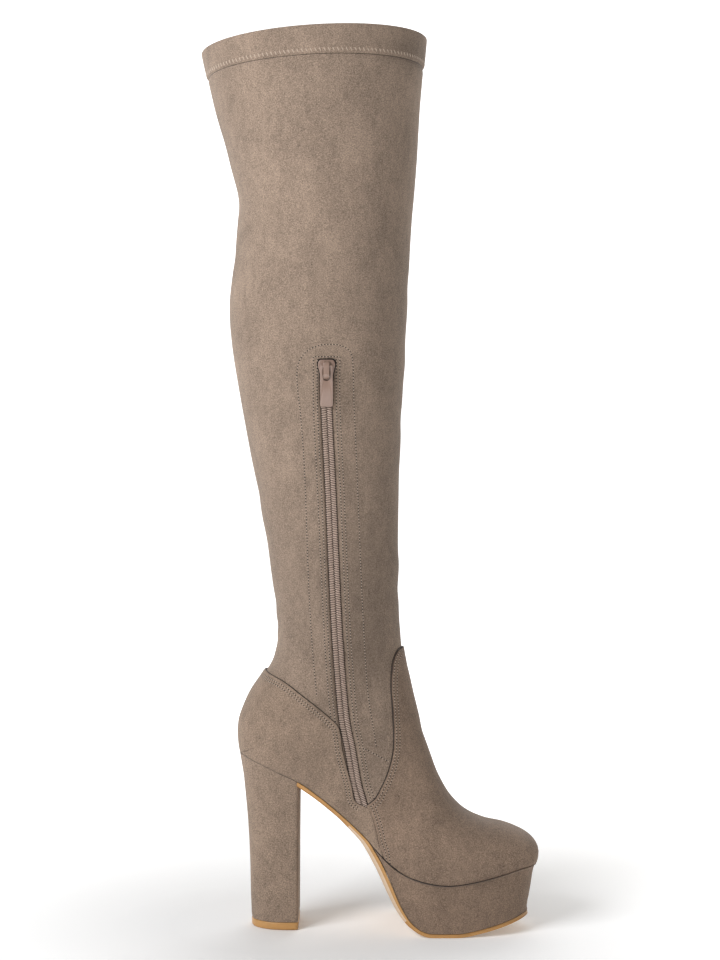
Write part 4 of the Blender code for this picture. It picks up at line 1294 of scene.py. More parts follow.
# %% [markdown]
# ## Platform, outsole and heel
#
# Under the toes a block of foam is wrapped in the same suede, under it lies a thin tan sole whose cut edge
# shows as a bright line that runs back and up to the heel, and the heel is a wrapped block with a tan top
# piece. Each is a closed tube of cross sections: the section's corners are rounded, and the sections follow
# the rows of the last, so the sole keeps to the upper's edge.

# %% Platform
SOLE_STEP = 0.0022
SOLE_OUT = OVERLAY + OVERLAY_GAP
BREAST_ROW = 16.08
SIDE_SHARES = (0.0, 0.02, 0.06, 0.14, 0.28, 0.45, 0.62, 0.78, 0.9, 0.96, 0.985, 1.0)
SIDE_SWELL_MM = (-0.5, -0.1, 0.1, 0.25, 0.4, 0.45, 0.4, 0.25, 0.05, -0.25, -0.7, -1.5)
THIN_SIDE = 0.012
PLATFORM_CROSSING = 9


def edges(rows, out=0.0):
    """Inner and outer edge of the foot at these rows, moved out sideways."""
    points = skin(rows, (-1, 1))
    points[:, 0, 1] -= out
    points[:, 1, 1] += out
    return points


def base_line(rows):
    """x and z of the outsole's underside below these rows of the last, and the inset of its sides."""
    base = named_columns(BASE, BASE_COLUMNS)
    front = np.column_stack((
        HEEL_BACK_X + base["along"] * FOOT_LENGTH,
        base["lift"] * PLATFORM_HEIGHT + base["spring"] * TOE_SPRING, base["inset"] * BALL_WIDTH,
    ))
    line = SECTIONS[:SEAT_FRONT + 1, :2]
    slope = np.gradient(line, axis=0)
    down = np.column_stack((-slope[:, 1], slope[:, 0])) / np.linalg.norm(slope, axis=1)[:, None]
    waist = np.column_stack((line + (OUTSOLE + 1.5 * GAP) * down, np.zeros(len(line))))[len(BASE):]
    found = between(np.vstack((front, waist)), rows)
    found[:, 1] = np.maximum(found[:, 1], 0)
    return found


def sole_frame(rows, out):
    """For each row: both upper edges, both lower edges and the way up from the underside."""
    sides = edges(rows, out)
    base = base_line(rows)
    half = np.maximum((sides[:, 1, 1] - sides[:, 0, 1]) / 2 - base[:, 2], 0)
    middle = (sides[:, 1, 1] + sides[:, 0, 1]) / 2
    slope = np.gradient(base[:, :2], axis=0)
    up = unit(np.column_stack((slope[:, 1], -slope[:, 0])))
    low = np.empty_like(sides)
    for k, sign in enumerate((-1, 1)):
        y = middle + sign * half
        skew = BALL_SKEW * ball_share(rows) * y
        low[:, k] = np.column_stack((base[:, 0] - skew, y, base[:, 1]))
    lift = np.column_stack((up[:, 0], np.zeros(len(rows)), up[:, 1]))
    return sides, low, lift


def tube(name, sections, materials, kinds=None):
    """A closed tube through loops of points, each end closed to the loop's middle."""
    count, wide = sections.shape[:2]
    at = np.arange(count * wide).reshape(count, wide)
    turned = np.roll(at, -1, axis=1)
    quads = np.stack((at[:-1], turned[:-1], turned[1:], at[1:]), axis=2).reshape(-1, 4)
    points = np.concatenate((sections.reshape(-1, 3), sections[:1].mean(axis=1), sections[-1:].mean(axis=1)))
    low = np.full(wide, count * wide)
    low_cap = np.stack((low, turned[0], at[0], low), axis=1)
    high_cap = np.stack((low + 1, at[-1], turned[-1], low + 1), axis=1)
    faces = np.concatenate((quads, low_cap, high_cap))
    return make_mesh(name, points, faces, kinds, materials)


def outward_faces(mesh):
    """Turns all faces of a closed mesh outwards if its volume comes out less than nothing."""
    mesh.calc_loop_triangles()
    points = np.empty(len(mesh.vertices) * 3)
    mesh.vertices.foreach_get("co", points)
    corners = np.empty(len(mesh.loop_triangles) * 3, np.int32)
    mesh.loop_triangles.foreach_get("vertices", corners)
    if np.linalg.det(points.reshape(-1, 3)[corners.reshape(-1, 3)]).sum() < 0:
        mesh.flip_normals()
    return mesh


def level_normals(line, sign):
    """Level normals of a line of points that runs from the toe back, away from the foot's middle."""
    way = np.gradient(line, axis=0)
    out = np.column_stack((way[:, 1], -way[:, 0], np.zeros(len(line)))) * -sign
    out[0] = (1, 0, 0)
    return out


def wrapped_sections(sides, low, high, shares, swell, crossing_steps):
    """Loops up the inner side, over the top, down the outer side and back below.

    Between low and high each side moves out along the level normals of its edge by the swell at these shares.
    """
    shares = np.array(shares)
    walls = []
    for k, sign in enumerate((-1, 1)):
        line = low[:, None, k] * (1 - shares)[None, :, None] + high[:, None, k] * shares[None, :, None]
        way = unit(level_normals(sides[:, k], sign))
        walls.append(line + way[:, None] * swell[:, :, None])
    across = np.linspace(0, 1, crossing_steps)[None, 1:-1, None]
    over = walls[0][:, -1:] * (1 - across) + walls[1][:, -1:] * across
    under = walls[1][:, :1] * (1 - across) + walls[0][:, :1] * across
    return np.concatenate((walls[0], over, walls[1][:, ::-1], under), axis=1)


def make_platform():
    """The sides swell by nearly half a millimetre and fold in where they meet the upper, as wrapping does."""
    rows = np.concatenate(([0.0], row_steps(0.03, PLATFORM_END, SOLE_STEP, -0.98)))
    sides, low, lift = sole_frame(rows, SOLE_OUT)
    low = low + (OUTSOLE + GAP) * lift[:, None]
    top = sides - (0, 0, 1.5 * GAP)
    room = np.linalg.norm(top - low, axis=2)
    swell = (np.array(SIDE_SWELL_MM) * 0.001)[None] * np.clip(room / THIN_SIDE, 0, 1)[:, :1]
    sections = wrapped_sections(sides, low, top, SIDE_SHARES, swell, PLATFORM_CROSSING)
    mesh = outward_faces(tube("platform_cover", sections, [PLATFORM_SUEDE]))
    add_piece("platform_cover", mesh, ["platform"], sharp=50)


make_platform()

# %% Outsole
WAIST_BEVEL = 0.0026
BEVEL_ROWS = (7.9, 9.9, 11.1, 13.7)
BEVEL_SHOWS = 0.25
SOLE_PROFILE = (0.0, 0.12, 0.3, 0.5, 0.7, 0.88, 1.0)
SOLE_EDGE_ROUND = 0.0006
SOLE_CROSSING = 13


def tan_board(name, roughness, colour, depth, bump, **sockets):
    """Stained leather board: cloudy colour, darker in fine scratches, with a slight grain."""
    material, tree, shader = new_material(name, roughness, **sockets)
    place = object_place(tree)
    clouds = add_noise(tree, place, 60, 3.0)
    scratches = add_noise(tree, place, 500, 2.0, 0.6, (0.25, 1.0, 1.0))
    value = add_math(tree, "MULTIPLY_ADD", clouds, depth, 1 - depth / 2)
    value = add_math(tree, "MULTIPLY_ADD", add_math(tree, "SUBTRACT", scratches, 0.5), depth, value)
    varied_colour(tree, shader, colour, value)
    varied_roughness(tree, shader, scratches, 0.25, 0.32)
    add_bump(tree, shader, scratches, bump)
    return material


EDGE_TAN = tan_board(
    "outsole_edge", 0.42, linear(188, 141, 84), 0.25, 0.00006, Specular_IOR_Level=0.45, Coat_Weight=0.12
)
SOLE_UNDER = tan_board("outsole_underside", 0.5, linear(222, 196, 168), 0.18, 0.00005, Specular_IOR_Level=0.4)


def make_outsole():
    """A thin board with both edges rounded. Behind the platform its upper face follows the upper's edge.

    In the waist the board is deeper, and the lower part of its edge is a bevel, as pale as the underside.
    """
    rows = np.concatenate(([0.0], row_steps(0.03, BREAST_ROW, SOLE_STEP, -0.98)))
    sides, low, lift = sole_frame(rows, SOLE_OUT)
    waist = ramp(rows, *BEVEL_ROWS[:2]) * (1 - ramp(rows, *BEVEL_ROWS[2:]))
    thick = low + OUTSOLE * lift[:, None]
    low = low - (WAIST_BEVEL * waist)[:, None, None] * lift[:, None]
    low[:, :, 2] = np.maximum(low[:, :, 2], 0)
    behind = np.clip((rows - PLATFORM_END + 0.6) / 0.6, 0, 1)[:, None, None]
    high = thick * (1 - behind) + (sides - (0, 0, 1.5 * GAP)) * behind
    around = 2 * np.array(SOLE_PROFILE) - 1
    inset = -SOLE_EDGE_ROUND * (1 - np.sqrt(np.clip(1 - around ** 2, 0, 1)))
    sections = wrapped_sections(sides, low, high, SOLE_PROFILE, inset[None], SOLE_CROSSING)
    wide = sections.shape[1]
    underside = wide - SOLE_CROSSING + 1
    kind = np.tile(np.where(np.arange(wide) >= underside, 1, 0), (len(rows) - 1, 1))
    bevel = np.array((0, 1, 2, underside - 3, underside - 2, underside - 1))
    kind[np.ix_(waist[:-1] > BEVEL_SHOWS, bevel)] = 1
    kinds = np.concatenate((kind.ravel(), np.zeros(2 * wide, int)))
    mesh = outward_faces(tube("outsole_board", sections, [EDGE_TAN, SOLE_UNDER], kinds))
    add_piece("outsole_board", mesh, ["outsole"], sharp=50)


make_outsole()

# %% [markdown]
# ## Block heel
#
# The heel block is wrapped in one piece of suede with its seam at the breast, the side that faces the toe.
# Its outline at the top is the heel seat's, and it is drawn in on the way down to a smaller outline with the
# same rounded back. The breast is flat with softly rounded corners. The cover is a stack of such outlines.

# %% Heel and top piece
HEEL_LEVELS = 44
HEEL_RING = 96
CORNER_ROUND = 0.0022


def seat_ring():
    """The heel seat's outline from the inner breast corner round the back to the outer one and the breast."""
    sides_rows = np.linspace(SEAT_FRONT, SEAT_BACK - 1, 30)
    rows = np.concatenate((sides_rows, np.linspace(SEAT_BACK - 1, SEAT_BACK, 24)[1:]))
    sides = edges(rows, SOLE_OUT)
    sides[-1, :, 1] = 0
    sides[:, :, 0] -= SOLE_OUT * np.clip((rows - SEAT_FRONT - 2) / 3, 0, 1)[:, None]
    breast = sides[0, 1] + np.linspace(0, 1, 14)[1:-1, None] * (sides[0, 0] - sides[0, 1])
    return np.array([*sides[:, 0], *sides[-2::-1, 1], *breast])


def length_of(ring):
    return np.linalg.norm(np.diff(np.vstack((ring, ring[:1])), axis=0), axis=1).sum()


def softened(ring, count, rounding):
    """The closed ring at even steps, its corners rounded by a running mean over this distance, twice."""
    closed = np.vstack((ring, ring[:1]))
    fine = resampled(closed, 0.00025)[:-1]
    step = np.linalg.norm(np.diff(np.vstack((fine, fine[:1])), axis=0), axis=1).mean()
    reach_points = max(int(rounding / step), 1)
    for _ in range(2):
        padded = np.vstack((fine[-reach_points:], fine, fine[:reach_points]))
        total = np.cumsum(np.vstack((np.zeros(3), padded)), axis=0)
        fine = (total[2 * reach_points + 1:] - total[:-2 * reach_points - 1]) / (2 * reach_points + 1)
    return resampled(np.vstack((fine, fine[:1])), length_of(fine) / count)[:-1][:count]


def heel_rings(depths):
    """The seat's outline drawn in towards the base, at shares of the way down."""
    ring = softened(seat_ring(), HEEL_RING, CORNER_ROUND)
    front, back, half = ring[:, 0].max(), ring[:, 0].min(), ring[:, 1].max()
    base_x = (ring[:, 0] - back) / (front - back) * HEEL_BASE_LENGTH - HEEL_BASE_LENGTH / 2
    base_y = ring[:, 1] / half * HEEL_BASE_WIDTH / 2
    top_z = ring[:, 2] - 2 * GAP
    knots = np.array(HEEL_TAPER)
    at = np.interp(depths, knots[:, 0], np.arange(len(knots)))
    taper = between(knots, at)[:, 1]
    rings = np.empty((len(depths), len(ring), 3))
    rings[:, :, 0] = ring[:, 0] + taper[:, None] * (base_x - ring[:, 0])
    rings[:, :, 1] = ring[:, 1] + taper[:, None] * (base_y - ring[:, 1])
    rings[:, :, 2] = top_z + depths[:, None] * (TOP_PIECE + GAP - top_z)
    return rings


def drawn_in(ring, distance):
    """The ring moved in towards its middle along its level normals."""
    way = np.roll(ring, -1, axis=0) - np.roll(ring, 1, axis=0)
    out = unit(np.column_stack((way[:, 1], -way[:, 0], np.zeros(len(ring)))))
    middle = ring.mean(axis=0)
    if ((ring - middle) * out).sum() < 0:
        out = -out
    return ring - distance * out


def make_heel():
    depths = np.linspace(0, 1, HEEL_LEVELS)
    rings = heel_rings(depths)
    rings[-1] = drawn_in(rings[-1], 0.0003)
    mesh = outward_faces(tube("heel_cover", rings, [HEEL_SUEDE]))
    add_piece("heel_cover", mesh, ["heel"], sharp=60)


def make_top_piece():
    """The tan lift under the heel: square sides with a small rounding at both edges."""
    ring = heel_rings(np.array((1.0,)))[0]
    levels = (
        (TOP_PIECE, 0.0005), (TOP_PIECE - 0.0002, 0.0001), (TOP_PIECE - 0.0008, 0.0), (TOP_PIECE / 2, 0.0),
        (0.0010, 0.0), (0.0003, 0.0002), (0.0, 0.0008),
    )
    rings = np.array([
        np.column_stack((drawn_in(ring, inset)[:, :2], np.full(len(ring), z))) for z, inset in levels
    ])
    mesh = outward_faces(tube("heel_lift", rings, [EDGE_TAN]))
    add_piece("heel_lift", mesh, ["heel_top_piece"], sharp=60)


make_heel()
make_top_piece()

# %% Insole
def finish_insole():
    """The insole keeps its solid, as it is seen only from far up in the shaft, and gets a soft leather."""
    material = tan_board("insole_leather", 0.6, linear(196, 172, 146), 0.2, 0.00008, Specular_IOR_Level=0.3)
    insole = frame["nodes"]["insole"]
    insole.data.materials.clear()
    insole.data.materials.append(material)


finish_insole()

# %% [markdown]
# ## Many small shapes as one mesh
#
# Stitches and the turns of a zip's coil are the same small shape hundreds of times. Instances or a particle
# system would place them, but the final model needs real meshes, so one rounded bar of a few dozen faces is
# worked out once and copied by array arithmetic: each copy is its own place plus the bar's points along its
# own three axes.

# %% Rounded bars
BAR_RINGS = ((-1.0, 0.0), (-0.86, 0.62), (-0.5, 1.0), (0.5, 1.0), (0.86, 0.62), (1.0, 0.0))


def bar_template(sides):
    """Points and faces of a bar along X, 1 in half length and radius: rings between two closed tips."""
    turn = np.linspace(0, 2 * np.pi, sides, endpoint=False)
    rings = [
        np.column_stack((np.full(sides, x), radius * np.cos(turn), radius * np.sin(turn)))
        for x, radius in BAR_RINGS[1:-1]
    ]
    points = np.concatenate((*rings, [(BAR_RINGS[0][0], 0, 0), (BAR_RINGS[-1][0], 0, 0)]))
    at = np.arange(len(rings) * sides).reshape(len(rings), sides)
    turned = np.roll(at, -1, axis=1)
    quads = np.stack((at[:-1], at[1:], turned[1:], turned[:-1]), axis=2).reshape(-1, 4)
    first, last = len(points) - 2, len(points) - 1
    low = np.stack((np.full(sides, first), at[0], turned[0], np.full(sides, first)), axis=1)
    high = np.stack((np.full(sides, last), turned[-1], at[-1], np.full(sides, last)), axis=1)
    return points, np.concatenate((quads, low, high))[:, ::-1]


def bars(places, along, out, half_length, half_width, half_height, sides=6):
    """Points and faces of a bar at each place, lying along one direction and standing out in the other."""
    points, faces = bar_template(sides)
    along = unit(along)
    aside = unit(np.cross(out, along))
    out = np.cross(along, aside)
    axes = np.stack((along * half_length, aside * half_width, out * half_height), axis=1)
    placed = places[:, None] + np.einsum("vk,nkd->nvd", points, axes)
    numbers = faces[None] + (np.arange(len(places)) * len(points))[:, None, None]
    return placed.reshape(-1, 3), numbers.reshape(-1, 4)


def joined(parts):
    """Several sets of points and faces as one."""
    points, faces, start = [], [], 0
    for part_points, part_faces in parts:
        points.append(part_points)
        faces.append(part_faces + start)
        start += len(part_points)
    return np.concatenate(points), np.concatenate(faces)


# %% [markdown]
# ## The zip
#
# A coil zip: two monofilament coils sewn to the edges of two woven tapes and locked together down the
# middle. It runs from the waist of the foot to below the knee's hollow. The tape lies behind the slot, and a
# dark strip nearly as wide as the slot covers it: painted shade, for the shade down in the slot. The coils
# lie on that strip, nearly flush with the suede and a little narrower than the slot, so the closed zip reads
# as two columns of ribs with lines of painted shade beside them. A texture of stripes would look flat from
# the side, so each turn of a coil is a bar of its own.

# %% Zip tape and coils
COIL_PITCH = 0.00132
COIL_HALF = 0.0021
COIL_OUT = 0.0001
COIL_LAP = 0.0001
RIB_LEAN = 0.16
RIB_HALF = (0.00046, 0.00066)
# The strip of painted shade in the slot: its half width, how far it sinks, and its thickness.
SHADE_STRIP_HALF = ZIP_SLOT / 2 - 0.0002
SHADE_STRIP_SINK = 0.0006
SHADE_STRIP_THICK = 0.0011
STRIP_STEP = 0.0028
ZIP_ROWS = (11.2, 40.0)


def zip_frames(spacing, out):
    """Places along the zip at even steps, with the way along it and the way out of the skin at each."""
    rows = np.linspace(*ZIP_ROWS, 2600)
    across = zip_across(rows, 0.0)[:, None]
    line = on_skin(rows, across, out)[:, 0]
    normals = outward(rows, across)[:, 0]
    ok = (line[:, 2] > SLOT_FOOT_Z) & (line[:, 2] < ZIP_TOP_Z - 0.0012)
    return along_line(line[ok], normals[ok], spacing)


def along_line(line, normals, spacing):
    """A line of points with normals at even steps: places, directions and normals."""
    places = resampled(line, spacing)
    return places, unit(np.gradient(places, axis=0)), unit(resampled(line, spacing, normals))


def rib_material():
    """Dyed polyester filament: a soft plastic gloss, each coil a little uneven in colour."""
    material, tree, shader = new_material("coil_filament", 0.42, Specular_IOR_Level=0.4)
    place = object_place(tree)
    noise = add_noise(tree, place, 420, 2.0, 0.6, (1.0, 1.0, 0.4))
    value = add_math(tree, "MULTIPLY_ADD", noise, 0.5, 0.75)
    varied_colour(tree, shader, linear(178, 156, 142), value)
    varied_roughness(tree, shader, noise, 0.2, 0.34)
    add_bump(tree, shader, add_noise(tree, place, 2500, 1.0), 0.00004)
    return material


COIL = rib_material()
TAPE = woven_material("zip_tape_weave", linear(128, 110, 97), 0.0005)
# Painted shade: a near black weave for the strip in the slot and the ring round the slider.
SHADE_WEAVE = woven_material("painted_shade_weave", linear(34, 26, 22), 0.0005)


def make_coils():
    """Two columns of ribs, half a pitch apart, each rib a bar from the middle line to the column's edge."""
    parts = []
    for side in (-1, 1):
        places, ways, normals = zip_frames(COIL_PITCH, COIL_OUT)
        if side > 0:
            places = places[:-1] + ways[:-1] * COIL_PITCH / 2
            ways, normals = ways[:-1], normals[:-1]
        aside = unit(np.cross(ways, normals)) * side
        lean = unit(aside + RIB_LEAN * ways)
        middles = places + aside * (COIL_HALF - COIL_LAP)
        parts.append(bars(middles, lean, normals, COIL_HALF, *RIB_HALF, sides=8))
    mesh = make_mesh("zip_coils", *joined(parts), materials=[COIL], weld=0)
    add_piece("zip_coils", outward_faces(mesh))


def zip_strip(rows, distances, out, thick):
    """Closed strip between two distances from the zip's middle line, this thick and this far out."""
    across = np.stack([zip_across(rows, distance) for distance in distances], axis=1)
    return two_walls(on_skin(rows, across, out), on_skin(rows, across, out - thick))


def zip_band(name, ends, distances, out, thick, material, node):
    """A strip of the zip between two heights, in place of one of the solids."""
    fine = np.linspace(*ZIP_ROWS, 1500)
    low, high = np.interp(ends, zip_height(fine), fine)
    points, faces, _ = zip_strip(row_steps(low, high, STRIP_STEP), distances, out, thick)
    mesh = make_mesh(name, points, faces, materials=[material])
    add_piece(name, mesh, [node], sharp=50)


def make_zip_tape():
    """The tape behind the slot, and the strip of painted shade that shows beside the coils."""
    tape_half = ZIP_TAPE_WIDTH / 2
    tape_ends = (SLOT_FOOT_Z - 0.002, ZIP_TOP_Z + 0.005)
    across_tape = np.linspace(-tape_half, tape_half, 21)
    zip_band("zip_tape_band", tape_ends, across_tape, -WALL - GAP, ZIP_TAPE, TAPE, "zip_tape")
    # The strip under the coils is painted shade.
    shade_ends = (SLOT_FOOT_Z + 0.001, ZIP_TOP_Z - 0.001)
    across_shade = np.linspace(-SHADE_STRIP_HALF, SHADE_STRIP_HALF, 9)
    zip_band("zip_core", shade_ends, across_shade, -SHADE_STRIP_SINK, SHADE_STRIP_THICK, SHADE_WEAVE, "zip_chain")


make_coils()
make_zip_tape()

# %% [markdown]
# ## Slider and pull tab
#
# The slider is a small die cast body, lacquered to match the suede. Its outline is like a shield, wider
# where the two coils come together. An arched bridge stands on it, and the pull's eye goes through under
# the bridge, so the pull can swing up. The pull hangs flat below it. These are the only hard shiny pieces
# of the shaft, so their rounded edges matter: each catches a thin light line.

# %% Slider body and bridge
PIVOT_UP = BRIDGE_LENGTH * 0.24
PIVOT_OUT = 2 * GAP + SLIDER_PLATE + BRIDGE_HEIGHT * 0.5
EYE_BAR = 0.0013
# The ring of painted shadow round the slider: how far it grows past the outline, and its heights and insets.
SHADOW_RING_GROW = 0.0009
SHADOW_RING_LEVELS = ((-0.0016, 0.0003), (0.0011, 0.0), (0.0014, 0.0003))
BRIDGE_ROUND = 0.0006
BRIDGE_BEND = 0.0024
BRIDGE_HALF_THICK = 0.00058

# The slider's outline from its top end to its low end, as shares: half length, half width there
SHIELD = (
    (1.0, 0.66), (0.9, 0.86), (0.72, 0.97), (0.5, 1.0), (0.25, 0.96), (0.0, 0.88), (-0.35, 0.78),
    (-0.7, 0.73), (-0.92, 0.70), (-1.0, 0.62),
)


def joint_frame():
    """The pull's pivot, from the solids' joint, with the slider's ways across, up and out."""
    pivot = np.array(frame["joints"][0]["pos_m"])
    rows = np.linspace(34, 40, 400)
    heights = zip_height(rows)
    row = np.interp(pivot[2], heights, rows)
    out = outward(np.array([row]), zip_across(np.array([row]), 0.0)[:, None])[0, 0]
    across = np.array((1.0, 0.0, 0.0))
    out = unit(out - (out @ across) * across)
    up = np.cross(out, across)
    return pivot, across, up, out


PIVOT, ACROSS, UP, OUT = joint_frame()
SLIDER_MIDDLE = PIVOT - PIVOT_UP * UP - PIVOT_OUT * OUT


def placed(local, origin):
    """Local x, y, z as across, up and out of the skin, from an origin."""
    return origin + local @ np.array((ACROSS, UP, OUT))


def lacquer_material(name, colour):
    """Baked lacquer over cast metal: one clean colour, with faint specks and wear in the gloss."""
    material, tree, shader = new_material(
        name, 0.3, Coat_Weight=0.35, Coat_Roughness=0.12, Specular_IOR_Level=0.5,
    )
    place = object_place(tree)
    specks = add_noise(tree, place, 1800, 2.0)
    clouds = add_noise(tree, place, 150, 2.0)
    varied_colour(tree, shader, colour, add_math(tree, "MULTIPLY_ADD", clouds, 0.12, 0.94))
    varied_roughness(tree, shader, specks, 0.18, 0.24)
    add_bump(tree, shader, specks, 0.00002)
    return material


LACQUER = lacquer_material("taupe_lacquer", linear(137, 113, 100))


def shield_ring(inset, z):
    """The slider's outline drawn in by inset, at height z: half width read smoothly from the shares."""
    shares = np.array(SHIELD)
    line = between(shares, np.linspace(0, len(shares) - 1, 40))
    half_y, half_x = SLIDER_LENGTH / 2 - inset, SLIDER_WIDTH / 2 - inset
    right = np.column_stack((line[:, 1] * half_x, line[:, 0] * half_y))
    left = right[::-1] * (-1, 1)
    ring = np.vstack((right, left))
    return np.column_stack((ring, np.full(len(ring), z)))


def shield_body(name, levels, grow, material):
    """A closed body on the slider's outline: a height and an inset for each level, grown by a distance."""
    rings = np.array([shield_ring(inset - grow, z) for z, inset in levels])
    return outward_faces(tube(name, placed(rings, SLIDER_MIDDLE), [material]))


def make_slider():
    """The body, a thin plate below it whose near black rim is painted shadow round the slider, and the
    bridge.
    """
    top = 2 * GAP + SLIDER_PLATE
    levels = (
        (-0.0012, 0.0010), (-0.0010, 0.0005), (-0.0004, 0.0001), (0.0004, 0.0), (top - 0.0007, 0.0),
        (top - 0.0003, 0.0001), (top - 0.0001, 0.00035), (top, 0.0008),
    )
    body = shield_body("zip_slider_body", levels, 0.0, LACQUER)
    add_piece("zip_slider_body", body, ["zip_slider"], sharp=60)
    # Painted shadow: a dark plate under the slider that shows as a dark line round it.
    shadow_ring = shield_body("zip_slider_gap", SHADOW_RING_LEVELS, SHADOW_RING_GROW, SHADE_WEAVE)
    add_piece("zip_slider_gap", shadow_ring)
    add_piece("zip_slider_bridge", outward_faces(bridge_mesh(top)), sharp=60)


def bridge_mesh(top):
    """A strap over the slider, up at one end, along and down at the other, with a rounded cross section."""
    half = BRIDGE_LENGTH / 2 - BRIDGE_ROUND
    high = top + BRIDGE_HEIGHT - BRIDGE_ROUND
    foot = top - BRIDGE_ROUND
    turn = np.radians(np.linspace(0, 90, 7))
    bend = BRIDGE_BEND
    up_end = np.column_stack((half - bend + bend * np.cos(turn), high - bend + bend * np.sin(turn)))
    line = np.vstack(([(half, foot)], up_end, up_end[::-1] * (-1, 1), [(-half, foot)]))
    line = resampled(line, BRIDGE_ROUND)
    way = unit(np.gradient(line, axis=0))
    normal = np.column_stack((way[:, 1], -way[:, 0]))
    angle = np.linspace(0, 2 * np.pi, 20, endpoint=False)
    x = BRIDGE_WIDTH / 2 * np.sign(np.cos(angle)) * np.abs(np.cos(angle)) ** 0.35
    t = BRIDGE_HALF_THICK * np.sign(np.sin(angle)) * np.abs(np.sin(angle)) ** 0.5
    sections = np.stack((
        np.broadcast_to(x, (len(line), len(x))),
        line[:, :1] + normal[:, :1] * t,
        line[:, 1:] + normal[:, 1:] * t,
    ), axis=2)
    return tube("zip_slider_bridge", placed(sections, SLIDER_MIDDLE), [LACQUER])


make_slider()

# %% Pull tab
EYE_STEPS = 96
EYE_CORNER = 0.0022
PLATE_CORNER = 0.0011
PLATE_ROUND = 0.00028


def rounded_box_outline(half_x, low, high, corner, count):
    """A rectangle's outline with rounded corners at even steps, clockwise from the middle of its top."""
    turn = np.radians(np.linspace(90, 0, 9))
    quarter = np.column_stack((np.cos(turn), np.sin(turn))) * corner
    right_top = quarter + (half_x - corner, high - corner)
    right_low = quarter[::-1] * (1, -1) + (half_x - corner, low + corner)
    half = np.vstack(([(0, high)], right_top, right_low, [(0, low)]))
    ring = np.vstack((half, half[-2:0:-1] * (-1, 1)))
    return resampled(np.vstack((ring, ring[:1])), length_of(ring) / count)[:count]


def make_pull():
    """A flat plate with a long eye. Its cross section runs round the eye, from the eye's edge to the rim."""
    half_bar = EYE_BAR / 2
    outer = rounded_box_outline(PULL_WIDTH / 2, -PULL_LENGTH + half_bar, half_bar, PLATE_CORNER, EYE_STEPS)
    reach_down = PIVOT_UP + BRIDGE_LENGTH / 2 + EYE_BAR
    eye_half = BRIDGE_WIDTH / 2 + GAP + 0.0001
    inner = rounded_box_outline(eye_half, -reach_down, -half_bar, EYE_CORNER, EYE_STEPS)
    t, r, less = PULL_THICK / 2, PLATE_ROUND, 0.3 * PLATE_ROUND
    way = unit(outer - inner)
    loop = (
        (inner, 0.0, -t + r), (inner, 0.0, t - r), (inner, less, t - less), (inner, r, t),
        (outer, -r, t), (outer, -less, t - less), (outer, 0.0, t - r), (outer, 0.0, -t + r),
        (outer, -less, -t + less), (outer, -r, -t), (inner, r, -t), (inner, less, -t + less),
    )
    lines = [np.column_stack((line + shift * way, np.full(EYE_STEPS, z))) for line, shift, z in loop]
    sections = np.stack(lines, axis=1)
    lean = Matrix.Rotation(PULL_LEAN, 3, "X")
    sections = placed(sections @ np.array(lean).T, PIVOT)
    count, wide = sections.shape[:2]
    at = np.arange(count * wide).reshape(count, wide)
    beside = np.roll(at, -1, axis=1)
    quads = np.stack((at, beside, np.roll(beside, -1, axis=0), np.roll(at, -1, axis=0)), axis=2)
    mesh = outward_faces(make_mesh("zip_pull_tab", sections, quads.reshape(-1, 4), materials=[LACQUER]))
    add_piece("zip_pull_tab", mesh, ["zip_pull"], body="zip_pull", sharp=60)


make_pull()

# %% [markdown]
# ## Stitching
#
# Lines of small stitches hold the boot together and draw its pattern: two rows beside the zip, a single
# arched row round the facing behind it, two rows inside the edge of the vamp and of the counter, and an
# overlock of upright stitches on the hem. Each stitch is a short bar of thread that sinks at both ends, and
# between two stitches the needle's hole is a near black dot: painted shade, for the shade in the hole. A
# bump map would lose them at the silhouette and in close views. Each line is drawn on the side view and
# projected level onto the finished piece under it, from the inner and from the outer side, so it follows
# every panel and crease.

# %% Thread and holes
STITCH_PITCH = 0.0023
STITCH_RADIUS = 0.00034
STITCH_SINK = 0.00012
HOLE_RADIUS = 0.00058


def thread_material(name, colour):
    """Spun polyester thread: uneven in colour and in height, with a slight silk gloss."""
    material, tree, shader = new_material(name, 0.6, Sheen_Weight=0.2, Specular_IOR_Level=0.3)
    place = object_place(tree)
    noise = add_noise(tree, place, 1500, 2.0)
    varied_colour(tree, shader, colour, add_math(tree, "MULTIPLY_ADD", noise, 0.5, 0.75))
    add_bump(tree, shader, noise, 0.00005)
    return material


THREAD = thread_material("taupe_thread", linear(174, 156, 140))
# Painted shade: the near black of the needle holes and of the dark lines at the panels' edges.
HOLE_SHADE = thread_material("needle_hole_shade", linear(36, 28, 23))


def sewn(line, normals):
    """Stitches and holes along a line: bars half a pitch long, with a dark bar of painted shade for the hole
    in each space between.
    """
    places, ways, outs = along_line(line, normals, STITCH_PITCH / 2)
    sunk = places[::2] - outs[::2] * STITCH_SINK
    threads = bars(sunk, ways[::2], outs[::2], STITCH_PITCH / 4, STITCH_RADIUS, STITCH_RADIUS)
    spots = places[1::2] - outs[1::2] * HOLE_RADIUS * 0.2
    holes = bars(spots, ways[1::2], outs[1::2], HOLE_RADIUS, HOLE_RADIUS * 0.9, HOLE_RADIUS * 0.5)
    return threads, holes


def add_stitches(name, rows):
    """One piece for a set of sewn lines, thread and the holes' painted shade as its two materials."""
    threads, holes = joined([row[0] for row in rows]), joined([row[1] for row in rows])
    points, faces = joined((threads, holes))
    kinds = np.repeat((0, 1), (len(threads[1]), len(holes[1])))
    mesh = make_mesh(name, points, faces, kinds, (THREAD, HOLE_SHADE), weld=0)
    add_piece(name, outward_faces(mesh))


# %% Lines projected onto the pieces
LINE_STEP = 0.0006


